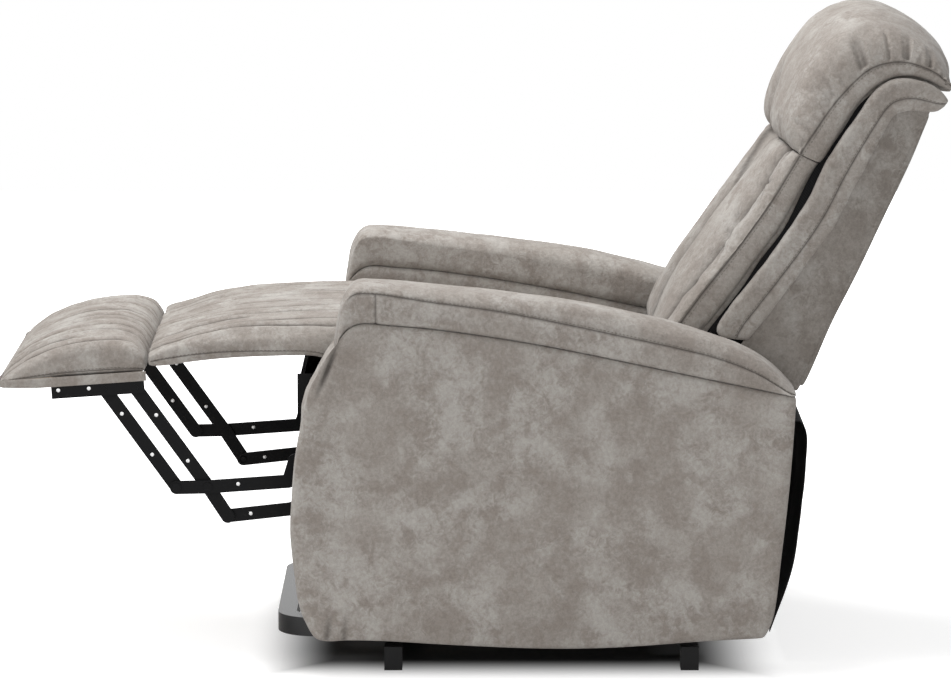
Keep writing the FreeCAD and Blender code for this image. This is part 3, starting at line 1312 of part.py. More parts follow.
def make_back_hinge():
    """Tube on the back's hinge line, with the crank that the back motor pushes."""
    make_crank("back_hinge_tube", point("back_hub"), point("back_push"), "dim.hinge_tube_radius",
               "dim.hinge_pin_radius + dim.pin_fit", "dim.hinge_tube_reach", "dim.back_motor_x",
               ("dim.back_slot_length", "dim.back_slot_slack", "-dim.back_slot_length"))
    plates = []
    margin = "dim.hinge_plate_margin"
    face = "dim.upright_face"
    rear = f"{face} - dim.upright_depth"
    outline = [(f"-{margin}", f"-{margin}"), (f"-{margin}", margin), (margin, margin),
               (f"{margin} + 8", face), ("dim.hinge_plate_head", face), ("dim.hinge_plate_head", rear),
               ("dim.upright_foot + 12", rear), (margin, f"-{margin}")]
    for side_name, side in SIDES:
        edges = span(side, "dim.hinge_plate_x", "dim.hinge_plate_x + dim.hinge_plate")
        plate = beam_on_back(f"back_hinge_plate_{side_name}", *edges, outline, "frame_angle")
        pocket_disc(plate, *edges, point("back_hub"), "dim.hinge_tube_radius + dim.pin_fit")
        plates.append(plate)
    join_as_node("back_hinge_plates", plates)


def back_cushion_head():
    """Top edge of the back cushion, a little above its thin nape."""
    return size("nape") + size("back_cushion_over_nape")


def back_cushion_section(x, crown, draw):
    """Outline of the back cushion: flat on the frame, full at the lumbar, thin at the nape."""
    inset = draw * size("back_soft_draw")
    drop = (1 - crown) * size("back_cushion_crown") + inset
    tilt = math.tan(math.radians(size("frame_angle") - size("back_angle")))
    foot, head = size("back_cushion_foot"), back_cushion_head() - inset
    seat_n = size("upright_face") + size("soft_gap")

    def rear(along):
        return back_at(x, along, seat_n / math.cos(math.atan(tilt)) - tilt * along + inset * 0.4)

    def front(along, normal):
        return back_at(x, along, normal - drop)

    path = Path(rear(foot))
    path.line(rear(head))
    path.line(back_at(x, head, -42))
    path.arc(back_at(x, head + 2, -18), front(head - 10, size("nape_n") - 5))
    path.line(front(size("nape"), size("nape_n")))
    path.arc(front((size("waist") + size("nape")) / 2, (size("waist_n") + size("nape_n")) / 2 + 3),
             front(size("waist"), size("waist_n")))
    path.arc(front((size("waist") + size("lumbar")) / 2, size("lumbar_n") + 0.5),
             front(size("lumbar"), size("lumbar_n")))
    path.arc(front(60, size("lumbar_n") - 4), front(foot + 6, 14))
    path.line(back_at(x, foot, 4))
    return path.close()


def channel_cutter(side):
    """V-shaped channel down the back cushion, between its middle and one of its side rolls."""
    x = side * size("channel_x")
    start = back_at(x, size("back_cushion_foot") - 5, size("lumbar_n") + 8)
    finish = back_at(x, back_cushion_head() + 10, size("nape_n") + 3)
    across = Vector(size("channel_half"), 0, 0)
    lean = math.radians(size("back_angle"))
    forward = Vector(0, -math.cos(lean), math.sin(lean))
    mouth = start + forward * size("channel_depth")
    wire = Part.makePolygon([mouth + across * 2, start - forward * size("channel_depth"), mouth - across * 2,
                             mouth + across * 2])
    return Part.Face(wire).extrude(finish - start)


def notch_cutter():
    """V-shaped hollow under the head pillow, which closes downwards between the two middle panels."""
    head = back_cushion_head() + 10
    half = size("notch_half")
    low_n = size("nape_n") - size("notch_depth")
    tip = back_at(0, size("notch_foot"), size("notch_foot_n"))
    wire = Part.makePolygon([tip, back_at(-half, head, low_n), back_at(half, head, low_n), tip])
    lean = math.radians(size("back_angle"))
    return Part.Face(wire).extrude(Vector(0, -math.cos(lean), math.sin(lean)) * 60)


def wing_room(side):
    """Space behind the wing's front edge, which the back cushion leaves free."""
    gap = size("soft_gap") * 2
    low = side * (size("wing_outer_x") - size("wing_width") - gap)
    front = size("back_foot_front_n") + size("wing_depth") + gap
    foot, step = size("wing_foot"), size("wing_depth")
    corners = [(foot - step * 2.1, size("back_rear_n")), (foot - step * 0.43, front - step),
               (foot - step * 0.29, front), (foot, front), (size("wing_head"), size("wing_head_n") + gap),
               (size("wing_head"), size("back_rear_n"))]
    path = Path(back_at(low, *corners[0]))
    for corner in corners[1:]:
        path.line(back_at(low, *corner))
    return solid_between(path.close(), low, low + side * 2 * size("wing_width"))


def make_back_cushion():
    cushion = soft_loft(size("back_soft_half"), back_cushion_section)
    for _name, side in SIDES:
        cushion = cushion.cut(wing_room(side))
        cushion = cushion.cut(channel_cutter(side))
    cushion = cushion.cut(notch_cutter())
    add_node("back_cushion", make_feature("back_cushion", cushion))


def pillow_section(x, crown, draw):
    """Outline of the head pillow, which rolls over the top of the back."""
    inset = draw * size("back_soft_draw") * 1.6
    drop = (1 - crown) * size("pillow_crown") + inset
    gap = size("soft_gap")

    def at(along, normal):
        return back_at(x, along, normal)

    path = Path(at(size("pillow_foot") + inset, -62 + inset * 0.3))
    path.line(at(size("pillow_foot") + inset, -12 - inset))
    path.arc(at(size("pillow_foot") + 16 + inset, 13 - drop),
             at(size("pillow_chin"), size("pillow_chin_n") - drop))
    path.line(at(size("pillow_face"), size("pillow_face_n") - drop))
    path.arc(at(size("pillow_face") + 58 - drop * 0.4, size("pillow_face_n") - 13 - drop),
             at(size("pillow_brow") - drop * 0.7, size("pillow_brow_n") - drop * 0.7))
    path.arc(at(size("pillow_brow") + 24 - drop, size("pillow_brow_n") - 30),
             at(size("pillow_top") - drop, size("pillow_top_n")))
    path.arc(at(size("pillow_top") - drop, size("pillow_top_n") - 46),
             at(size("pillow_nape") - drop, size("pillow_nape_n")))
    path.line(at(size("pillow_tail") - drop * 0.5, size("pillow_tail_n") + inset))
    path.line(at(size("collar_tip") + 3 * gap, size("collar_tip_n")))
    path.line(at(size("collar_crest") + gap, size("collar_crest_n") + gap))
    path.arc(at(size("collar_brow") + gap, size("collar_brow_n") + gap),
             at(size("wing_head") + gap, size("wing_head_n") + gap))
    return path.close()


def make_head_pillow():
    pillow = soft_loft(size("pillow_half_width"), pillow_section)
    add_node("head_pillow", make_feature("head_pillow", pillow))


# Power supply and handset

def make_power_supply():
    """Box on the left side plate, with the inlet in its rear face and no cable."""
    wall = "dim.arm_inner_x - dim.side_plate"
    inner = f"{wall} - dim.supply_width"
    rear = "dim.supply_front_y + dim.supply_length"
    middle_z = "dim.supply_z + dim.supply_height / 2"
    body = beam("power_supply", inner, wall,
                rectangle("dim.supply_front_y", rear, "dim.supply_z", "dim.supply_z + dim.supply_height"))
    middle_x = f"({wall} - dim.supply_width / 2)"
    pocket_polygon(body, f"{middle_x} - dim.inlet_width / 2", f"{middle_x} + dim.inlet_width / 2",
                   rectangle(f"{rear} - dim.inlet_depth", f"{rear} + 1",
                             f"{middle_z} - dim.inlet_height / 2", f"{middle_z} + dim.inlet_height / 2"))
    add_node("power_supply", body)


def handset_box(inset, front_inset):
    """Space of the handset recess in the right arm, inset from its walls."""
    outer = size("arm_outer_x")
    half_w = size("recess_half_width") - inset
    half_h = size("recess_half_height") - inset
    depth = size("recess_depth") - front_inset
    corner = Vector(-outer, size("recess_y") - half_w, size("recess_z") - half_h)
    return Part.makeBox(depth, 2 * half_w, 2 * half_h, corner)


def make_handset_recess():
    """Open box in the right arm, with a hole in its floor for the handset's lead."""
    wall = size("recess_wall")
    shape = handset_box(0, 0).cut(handset_box(wall, wall))
    back = size("arm_outer_x") - size("recess_depth") + wall + size("soft_gap")
    floor = Vector(-back - size("handset_depth") / 2, size("recess_y"),
                   size("recess_z") - size("recess_half_height") - 1)
    lead_hole = Part.makeCylinder(size("handset_socket") + size("lead_hole_extra"), wall + 2, floor)
    add_node("handset_recess", make_feature("handset_recess", shape.cut(lead_hole)))


def rocker_middle(index):
    return f"dim.rocker_first_z + {index} * dim.rocker_pitch"


def handset_faces():
    """Inner and outer distance from the middle of the handset's two faces."""
    back = "dim.arm_outer_x - dim.recess_depth + dim.recess_wall + dim.soft_gap"
    return back, f"{back} + dim.handset_depth"


def make_handset():
    back, face = handset_faces()
    bottom = "dim.recess_z - dim.recess_half_height + dim.recess_wall + dim.soft_gap"
    half = "dim.handset_half_width"
    body = beam("handset_case", *span(RIGHT, back, face),
                rectangle(f"dim.recess_y - {half}", f"dim.recess_y + {half}",
                          bottom, f"{bottom} + dim.handset_height"))
    for index in range(3):
        low_z = f"{rocker_middle(index)} - dim.rocker_height / 2 - dim.rocker_gap"
        high_z = f"{rocker_middle(index)} + dim.rocker_height / 2 + dim.rocker_gap"
        well = f"{face} - dim.rocker_depth + dim.rocker_proud - dim.rocker_gap"
        pocket_polygon(body, *span(RIGHT, well, face),
                       rectangle(f"dim.recess_y - dim.rocker_half_width - dim.rocker_gap / 2",
                                 f"dim.recess_y + dim.rocker_half_width + dim.rocker_gap / 2", low_z, high_z))
    shape_socket(body, back, face, bottom)
    cut_rocker_holes(body, face)
    add_node("handset_case", body)


def shape_socket(body, back, face, bottom):
    """Blind socket for the handset's lead, in its lower end."""
    sketch = new_sketch(body, "XY_Plane", bottom)
    draw_circle(sketch, (f"-(({back}) + ({face})) / 2", "dim.recess_y"), "dim.handset_socket")
    feature = body.newObject("PartDesign::Pocket", "handset_socket_cut")
    feature.Profile = sketch
    feature.Reversed = True
    feature.setExpression("Length", "3 * dim.handset_socket")
    DOC.recompute()


def cut_rocker_holes(body, face):
    """Blind holes in the walls beside each rocker, for its two stub pins."""
    before = body.Shape.Volume
    for index in range(3):
        sketch = new_sketch(body, "XZ_Plane",
                            "-(dim.recess_y + dim.rocker_half_width + dim.rocker_pin_reach + dim.pin_fit)")
        axis_x = f"-(({face}) - dim.rocker_depth / 2 + dim.rocker_proud)"
        draw_circle(sketch, (axis_x, rocker_middle(index)), "dim.rocker_pin + dim.pin_fit")
        feature = body.newObject("PartDesign::Pocket", f"rocker_hole_{index + 1}")
        feature.Profile = sketch
        feature.setExpression("Length", "2 * (dim.rocker_half_width + dim.rocker_pin_reach + dim.pin_fit)")
        feature.Reversed = True
        DOC.recompute()
    if body.Shape.Volume >= before:
        raise ValueError("handset_case: the rocker holes removed nothing")


def make_rockers():
    """Three rocker switches: lift, back and footrest."""
    _back, face = handset_faces()
    for index, name in enumerate(("rocker_lift", "rocker_back", "rocker_footrest")):
        outer = f"{face} + dim.rocker_proud"
        middle_z = rocker_middle(index)
        body = new_body(name)
        sketch = new_sketch(body, "XZ_Plane", "-(dim.recess_y + dim.rocker_half_width)")
        half_z = "dim.rocker_height / 2"
        corners = [(f"-({outer} - dim.rocker_depth)", f"{middle_z} - {half_z} * 0.45"),
                   (f"-({outer} - dim.rocker_depth)", f"{middle_z} + {half_z} * 0.45"),
                   (f"-({outer})", f"{middle_z} + {half_z}"),
                   (f"-({outer} - 1.6)", middle_z),
                   (f"-({outer})", f"{middle_z} - {half_z}")]
        draw_polygon(sketch, corners)
        pad(body, sketch, "2 * dim.rocker_half_width")
        pin = new_sketch(body, "XZ_Plane", "-(dim.recess_y + dim.rocker_half_width + dim.rocker_pin_reach)")
        draw_circle(pin, (f"-({outer} - dim.rocker_depth / 2)", middle_z), "dim.rocker_pin")
        pad(body, pin, "2 * (dim.rocker_half_width + dim.rocker_pin_reach)")
        add_node(name, body)


def check_document():
    """Stop if any object failed or any sub-part has no valid shape."""
    for thing in DOC.Objects:
        if "Invalid" in thing.State or "Error" in thing.State:
            raise ValueError(f"{thing.Label} failed: {thing.State}")
    for name, thing in NODES.items():
        if thing.Shape.isNull() or not thing.Shape.isValid():
            raise ValueError(f"{name} has no valid shape")


def write_parts():
    os.makedirs("parts", exist_ok=True)
    for name, thing in NODES.items():
        thing.Shape.exportStep(f"parts/{name}.step")


def main():
    fill_sheet()
    make_base_tubes()
    make_cross_tube("base_front_cross_tube", "dim.cross_front_y")
    make_cross_tube("base_rear_cross_tube", "dim.cross_rear_y")
    make_feet()
    make_pivot_brackets()
    make_lift_motor_bracket()
    make_lift_arms()
    make_lift_links()
    make_lift_yoke()
    make_motors()
    make_side_plates()
    make_pivot_posts()
    make_chair_tube("chair_front_tube", point("front_tube"), point("back_mount"), "dim.back_motor_x")
    make_chair_tube("chair_rear_tube", point("rear_tube"), point("foot_mount"), "dim.foot_motor_x")
    make_seat_frame()
    make_seat_webbing()
    make_seat_cushion()
    make_front_panel()
    make_footrest_bars()
    make_footrest_crank()
    make_footrest_brackets()
    make_footrest_board()
    make_footrest_pad()
    make_calf_pad()
    make_arm_boards()
    make_arm_fronts()
    make_arm_pads()
    make_arm_rails()
    make_tail_rail()
    make_rear_cloth()
    make_back_boards()
    make_wings()
    make_collar()
    make_back_frame()
    make_back_hinge()
    make_back_cushion()
    make_head_pillow()
    make_power_supply()
    make_handset_recess()
    make_handset()
    make_rockers()
    DOC.recompute()
    check_document()
    write_parts()


main()
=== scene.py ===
"""Power lift recliner: padding, cloth, finishes, floor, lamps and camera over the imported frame.

Sizes are in millimetres until a mesh is made, and then in metres.  Z is up, the sitter
faces -Y and +X is the sitter's left.  A place in the side view is a pair (y, z).
"""
from __future__ import annotations

import json
import logging
import math
from dataclasses import dataclass, field
from enum import Enum
from typing import Callable, ClassVar, Sequence

import bpy
import numpy as np
from mathutils import Matrix, Vector

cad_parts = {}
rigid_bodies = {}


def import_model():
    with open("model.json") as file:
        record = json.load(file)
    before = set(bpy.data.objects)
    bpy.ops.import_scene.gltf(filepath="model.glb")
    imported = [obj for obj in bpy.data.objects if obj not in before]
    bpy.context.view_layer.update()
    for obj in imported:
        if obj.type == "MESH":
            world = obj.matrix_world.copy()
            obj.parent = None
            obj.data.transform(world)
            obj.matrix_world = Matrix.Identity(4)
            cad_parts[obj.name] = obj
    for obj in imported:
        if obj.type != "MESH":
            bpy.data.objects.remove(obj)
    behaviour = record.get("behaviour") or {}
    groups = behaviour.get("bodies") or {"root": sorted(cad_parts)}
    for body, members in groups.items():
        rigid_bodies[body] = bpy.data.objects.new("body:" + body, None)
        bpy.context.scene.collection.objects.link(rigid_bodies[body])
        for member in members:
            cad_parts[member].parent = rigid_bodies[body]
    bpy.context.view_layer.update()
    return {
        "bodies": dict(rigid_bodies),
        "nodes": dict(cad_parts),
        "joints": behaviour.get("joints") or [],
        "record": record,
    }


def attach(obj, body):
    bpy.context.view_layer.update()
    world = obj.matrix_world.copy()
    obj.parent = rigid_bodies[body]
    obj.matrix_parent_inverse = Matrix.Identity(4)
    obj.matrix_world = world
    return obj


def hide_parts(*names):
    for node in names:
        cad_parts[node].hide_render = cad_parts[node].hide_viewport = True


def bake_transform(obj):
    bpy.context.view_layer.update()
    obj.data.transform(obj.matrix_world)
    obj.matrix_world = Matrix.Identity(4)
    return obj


LOG = logging.getLogger("lift_recliner")
METRE = 0.001
SEED = 41
SEAM_GAP = 2.5    # from a seam's grid line to the next, where its stitches lie
ON_LINE = 0.4     # a vertex this near to a grid line lies on it
FAR = 60.0        # taken as the distance from a seam where a piece has none
PAD_HALF = 268.0  # half the width of the seat and of the footrest
PAD_GLUED = 6.0   # their cloth is held up to this height of the pattern
TINY = 1e-6       # smallest length to divide by

Pair = tuple[float, float]
Triple = tuple[float, float, float]
Colour = Triple
Array = np.ndarray


# Curves and noise

def dense_curve(points: Sequence[Pair], steps: int = 24) -> Array:
    """Smooth open curve through side-view points.

    Args:
        points: places that the curve passes through, in order.
        steps: samples between two of them.

    Returns:
        Samples of a centripetal Catmull-Rom curve, one row each.
    """
    places = np.asarray(points, float)
    ends = np.vstack([2 * places[0] - places[1], places, 2 * places[-1] - places[-2]])
    rows = []
    for index in range(len(places) - 1):
        p0, p1, p2, p3 = ends[index:index + 4]
        t0 = 0.0
        t1 = t0 + max(np.linalg.norm(p1 - p0), TINY) ** 0.5
        t2 = t1 + max(np.linalg.norm(p2 - p1), TINY) ** 0.5
        t3 = t2 + max(np.linalg.norm(p3 - p2), TINY) ** 0.5
        t = np.linspace(t1, t2, steps, endpoint=False)[:, None]
        a1 = (t1 - t) / (t1 - t0) * p0 + (t - t0) / (t1 - t0) * p1
        a2 = (t2 - t) / (t2 - t1) * p1 + (t - t1) / (t2 - t1) * p2
        a3 = (t3 - t) / (t3 - t2) * p2 + (t - t2) / (t3 - t2) * p3
        b1 = (t2 - t) / (t2 - t0) * a1 + (t - t0) / (t2 - t0) * a2
        b2 = (t3 - t) / (t3 - t1) * a2 + (t - t1) / (t3 - t1) * a3
        rows.append((t2 - t) / (t2 - t1) * b1 + (t - t1) / (t2 - t1) * b2)
    rows.append(places[-1:])
    return np.vstack(rows)


class Curve:
    """Open curve in the side view that is read by the share of its length."""

    def __init__(self, points: Sequence[Pair]) -> None:
        """Keep dense samples of the curve and the share of its length at each."""
        self.samples = dense_curve(points)
        runs = np.linalg.norm(np.diff(self.samples, axis=0), axis=1)
        self.length = float(runs.sum())
        self.shares = np.concatenate([[0.0], np.cumsum(runs)]) / self.length

    def at(self, share: Array) -> Array:
        """Places at shares of the length, one row for each share."""
        share = np.clip(np.asarray(share, float), 0.0, 1.0)
        columns = [np.interp(share, self.shares, self.samples[:, axis]) for axis in (0, 1)]
        return np.stack(columns, axis=-1)

    def heading(self, share: Array, reach: float) -> Array:
        """Unit direction at shares of the length, taken over a reach to each side."""
        step = self.at(np.minimum(share + reach, 1.0)) - self.at(np.maximum(share - reach, 0.0))
        return step / np.maximum(np.linalg.norm(step, axis=1, keepdims=True), TINY)


def smooth_step(value: Array, low: float, high: float) -> Array:
    """Smooth rise from 0 at low to 1 at high."""
    share = np.clip((np.asarray(value, float) - low) / (high - low), 0.0, 1.0)
    return share * share * (3.0 - 2.0 * share)


def hump(value: Array, middle: float | Array, width: float) -> Array:
    """Bell of height 1 around a middle."""
    return np.exp(-(((value - middle) / width) ** 2))


class Noise:
    """Repeatable smooth noise between -1 and 1 in three directions."""

    SIZE = 32

    def __init__(self, seed: int) -> None:
        """Draw the values at the grid's corners from the seed."""
        maker = np.random.default_rng(seed)
        self.values = maker.uniform(-1.0, 1.0, (self.SIZE,) * 3)

    def at(self, x: Array, y: Array, z: Array | float = 0.0) -> Array:
        """Noise at each place, with a period of 32."""
        x, y, z = np.broadcast_arrays(x, y, z)
        cells = []
        shares = []
        for value in (x, y, z):
            whole = np.floor(value).astype(int)
            part = value - whole
            cells.append(whole)
            shares.append(part * part * part * (part * (part * 6 - 15) + 10))
        total = np.zeros(x.shape)
        for corner in range(8):
            offsets = ((corner >> 0) & 1, (corner >> 1) & 1, (corner >> 2) & 1)
            weight = np.ones(x.shape)
            index = []
            for cell, share, step in zip(cells, shares, offsets):
                weight = weight * (share if step else 1.0 - share)
                index.append((cell + step) % self.SIZE)
            total += weight * self.values[tuple(index)]
        return total

    def layers(self, x: Array, y: Array, z: Array | float = 0.0, count: int = 3) -> Array:
        """Sum of finer and weaker copies of the noise."""
        total = 0.0
        for layer in range(count):
            scale = 2.03 ** layer
            total = total + self.at(x * scale + 7.3 * layer, y * scale + 3.1 * layer, z * scale) / scale
        return total


# Meshes

def mesh_object(name: str, places: Array, faces: Array) -> bpy.types.Object:
    """Object at the origin from places in millimetres.

    Args:
        name: the piece's name.
        places: one row (x, y, z) for each vertex.
        faces: rows of vertex numbers, three or four in each.

    Returns:
        The linked object, shaded smooth.
    """
    mesh = bpy.data.meshes.new(name)
    mesh.from_pydata((np.asarray(places, float) * METRE).tolist(), [], np.asarray(faces).tolist())
    mesh.update()
    mesh.shade_smooth()
    return placed(name, mesh)


def wire_object(name: str, places: Array, edges: Sequence[tuple[int, int]] = ()) -> bpy.types.Object:
    """Object at the origin from points and edges in millimetres, for a node tree to work on."""
    mesh = bpy.data.meshes.new(name)
    mesh.from_pydata((np.asarray(places, float) * METRE).tolist(), list(edges), [])
    return placed(name, mesh)


def placed(name: str, data: bpy.types.ID) -> bpy.types.Object:
    """Linked object at the origin with the given mesh, lamp or camera."""
    thing = bpy.data.objects.new(name, data)
    bpy.context.scene.collection.objects.link(thing)
    return thing


def corner_places(thing: bpy.types.Object) -> Array:
    """Vertex places of an object's mesh, in millimetres."""
    flat = np.zeros(len(thing.data.vertices) * 3)
    thing.data.vertices.foreach_get("co", flat)
    return flat.reshape(-1, 3) / METRE


def move_corners(thing: bpy.types.Object, places: Array) -> None:
    """Set the vertex places of an object's mesh, from millimetres."""
    thing.data.vertices.foreach_set("co", (places * METRE).ravel())
    thing.data.update()


def outward(thing: bpy.types.Object) -> Array:
    """Unit normal at each vertex."""
    flat = np.zeros(len(thing.data.vertices) * 3)
    thing.data.vertices.foreach_get("normal", flat)
    return flat.reshape(-1, 3)


def keep_pattern(thing: bpy.types.Object, pattern: Array) -> None:
    """Store each vertex's place on the flat pattern, so that it survives subdivision."""
    layer = thing.data.attributes.new("pattern", "FLOAT_VECTOR", "POINT")
    layer.data.foreach_set("vector", np.asarray(pattern, float).ravel())


def read_pattern(thing: bpy.types.Object) -> Array:
    """Place of each vertex on the flat pattern."""
    flat = np.zeros(len(thing.data.vertices) * 3)
    thing.data.attributes["pattern"].data.foreach_get("vector", flat)
    return flat.reshape(-1, 3)


def surface(thing: bpy.types.Object) -> tuple[Array, Array, Array]:
    """Place, unit normal and place on the pattern of each vertex."""
    return corner_places(thing), outward(thing), read_pattern(thing)


def keep_painted_shade(thing: bpy.types.Object, *amounts: Array) -> None:
    """Store how much painted shade each vertex gets in a fold or a seam; the cloth's finish darkens its
    colour by it.
    """
    same_size = [np.broadcast_to(amount, amounts[0].shape) for amount in amounts]
    deepest = np.clip(np.maximum.reduce(same_size), 0.0, 1.0)
    layer = thing.data.attributes.new("fold", "FLOAT", "POINT")
    layer.data.foreach_set("value", deepest.astype(float))


def settle(thing: bpy.types.Object) -> None:
    """Turn the object's live modifiers into its plain mesh."""
    graph = bpy.context.evaluated_depsgraph_get()
    graph.update()
    finished = bpy.data.meshes.new_from_object(thing.evaluated_get(graph))
    old = thing.data
    finished.name = old.name + "_finished"
    thing.modifiers.clear()
    thing.data = finished
    bpy.data.meshes.remove(old)


def refine(thing: bpy.types.Object, levels: int) -> None:
    """Subdivide the mesh smoothly and keep the result."""
    rounder = thing.modifiers.new("rounder", "SUBSURF")
    rounder.levels = levels
    rounder.render_levels = levels
    settle(thing)
    thing.data.shade_smooth()


def signed_volume(places: Array, faces: Array) -> float:
    """Volume inside quads, negative when they face inwards."""
    a, b, c, d = (places[faces[:, index]] for index in range(4))
    first = np.einsum("ij,ij->i", a, np.cross(b, c))
    second = np.einsum("ij,ij->i", a, np.cross(c, d))
    return float((first + second).sum() / 6.0)


def box_skin(shape: tuple[int, int, int]) -> tuple[Array, Array]:
    """Grid points and quads on the outside of a box of grid lines.

    Args:
        shape: number of grid lines across, along and through.

    Returns:
        The grid numbers of each vertex, and the quads.
    """
    numbers = np.full(shape, -1)
    lines = np.indices(shape)
    outside = np.zeros(shape, bool)
    for axis in range(3):
        outside |= (lines[axis] == 0) | (lines[axis] == shape[axis] - 1)
    numbers[outside] = np.arange(int(outside.sum()))
    sheets = ((numbers[:, :, -1], False), (numbers[:, :, 0], True), (numbers[-1], False),
              (numbers[0], True), (numbers[:, -1, :], True), (numbers[:, 0, :], False))
    quads = []
    for sheet, turned in sheets:
        quad = np.stack([sheet[:-1, :-1], sheet[1:, :-1], sheet[1:, 1:], sheet[:-1, 1:]], axis=-1)
        quad = quad.reshape(-1, 4)
        quads.append(quad[:, ::-1] if turned else quad)
    return np.argwhere(outside), np.vstack(quads)


def grid_lines(length: float, spacing: float, close: Sequence[float] = (),
               gap: float = SEAM_GAP) -> Array:
    """Grid lines along a length, with a tight trio at each seam.

    Args:
        length: the length that they cover.
        spacing: about how far apart they are.
        close: places of seams along it.
        gap: distance of the neighbours of a seam's own line.

    Returns:
        Sorted places from 0 to the length.
    """
    count = max(int(round(length / spacing)), 2)
    lines = list(np.linspace(0.0, length, count + 1))
    for place in close:
        lines = [line for line in lines if abs(line - place) > 1.9 * gap or line in (0.0, length)]
        lines += [place - gap, place, place + gap]
    return np.array(sorted(lines))


Shape = Callable[[Array, Array, Array], Array]


@dataclass
class PadForm:
    """Closed padded form: a rounded box of grid lines that a function bends into place."""

    name: str
    width: float
    length: float
    depth: float
    radius: tuple[float, float, float]
    shape: Shape
    far_radius: tuple[float, float, float] | None = None
    spacing: float = 9.0
    along_spacing: float = 0.0
    depth_spacing: float = 8.0
    seams_across: Sequence[float] = ()
    seams_along: Sequence[float] = ()
    seams_through: Sequence[float] = ()

    def build(self) -> bpy.types.Object:
        """Make the mesh, with each vertex's place on the box kept as its pattern."""
        lines = (grid_lines(self.width, self.spacing, self.seams_across),
                 grid_lines(self.length, self.along_spacing or self.spacing, self.seams_along),
                 grid_lines(self.depth, self.depth_spacing, self.seams_through))
        numbers, quads = box_skin(tuple(len(axis) for axis in lines))
        box = np.stack([lines[axis][numbers[:, axis]] for axis in range(3)], axis=-1)
        size = np.array([self.width, self.length, self.depth])
        near = np.minimum(np.array(self.radius), size * 0.499)
        far = np.minimum(np.array(self.far_radius or self.radius), size * 0.499)
        core = np.clip(box, near, size - far)
        reach = np.where(box < core, near, far)
        away = (box - core) / reach
        away /= np.maximum(np.linalg.norm(away, axis=1, keepdims=True), 1e-9)
        soft = (core + away * reach) / size
        places = self.shape(soft[:, 0] * 2.0 - 1.0, soft[:, 1], soft[:, 2])
        if signed_volume(places, quads) < 0:
            quads = quads[:, ::-1]
        thing = mesh_object(self.name, places, quads)
        keep_pattern(thing, box - np.array([self.width / 2.0, 0.0, 0.0]))
        return thing


def between(lower: Curve, upper: Curve, half_width: float, crown: float = 0.0,
            middle: float = 0.0, power: float = 3.0) -> Shape:
    """Shape of a pad between two side-view curves.

    Args:
        lower: its underside.
        upper: its top.
        half_width: half its width across the chair.
        crown: how much lower the top is at its sides.
        middle: X of its middle.
        power: how late the crown falls away.

    Returns:
        A function from shares of the box to places.
    """
    def shape(across: Array, along: Array, through: Array) -> Array:
        low = lower.at(along)
        high = upper.at(along)
        rise = high - low
        reach = np.linalg.norm(rise, axis=1, keepdims=True)
        sink = crown * np.abs(across[:, None]) ** power
        place = low + rise * through[:, None] * (1.0 - sink / np.maximum(reach, 1.0))
        return np.column_stack([middle + across * half_width, place])
    return shape


def coons(front: Curve, rear: Curve, bottom: Curve, top: Curve) -> Callable[[Array, Array], Array]:
    """Side-view patch between four curves: share 0 to 1 from front to rear and from bottom to top."""
    corners = (bottom.at(np.array([0.0])), bottom.at(np.array([1.0])),
               top.at(np.array([0.0])), top.at(np.array([1.0])))

    def patch(along: Array, up: Array) -> Array:
        a, u = along[:, None], up[:, None]
        sides = (1 - a) * front.at(up) + a * rear.at(up)
        ends = (1 - u) * bottom.at(along) + u * top.at(along)
        flat = ((1 - a) * (1 - u) * corners[0] + a * (1 - u) * corners[1]
                + (1 - a) * u * corners[2] + a * u * corners[3])
        return sides + ends - flat
    return patch


# Sides and the back's own frame

class Side(Enum):
    """Side of the chair, with the sign of its X."""

    LEFT = 1
    RIGHT = -1

    @property
    def word(self) -> str:
        """The side's name in a piece's name."""
        return self.name.lower()

    def stands_for(self, *nodes: str) -> tuple[str, ...]:
        """CAD nodes of both sides, which the left piece replaces and the right one doesn't."""
        return nodes if self is Side.LEFT else ()


@dataclass(frozen=True)
class BackLine:
    """Line of the back through its hinge; a place is (along, in front of it), as numbers or rows."""

    hub: Pair = (300.0, 430.0)
    lean: float = 24.6

    def place(self, along: float, front: float) -> Pair:
        """Side-view place of a point of the back."""
        angle = math.radians(self.lean)
        return (self.hub[0] + along * math.sin(angle) - front * math.cos(angle),
                self.hub[1] + along * math.cos(angle) + front * math.sin(angle))

    def curve(self, *points: Pair) -> Curve:
        """Curve through points of the back."""
        return Curve([self.place(*point) for point in points])


BACK = BackLine()


# Finishes

class Slot(str, Enum):
    """Material slots of the record."""

    SUEDE = "suede_cloth"
    DUST_CLOTH = "dust_cloth"
    WEBBING = "webbing"
    BLACK_STEEL = "black_steel"
    BRIGHT_STEEL = "bright_steel"
    BLACK_PLASTIC = "black_plastic"
    ROCKER = "rocker_plastic"
    TIMBER = "timber"


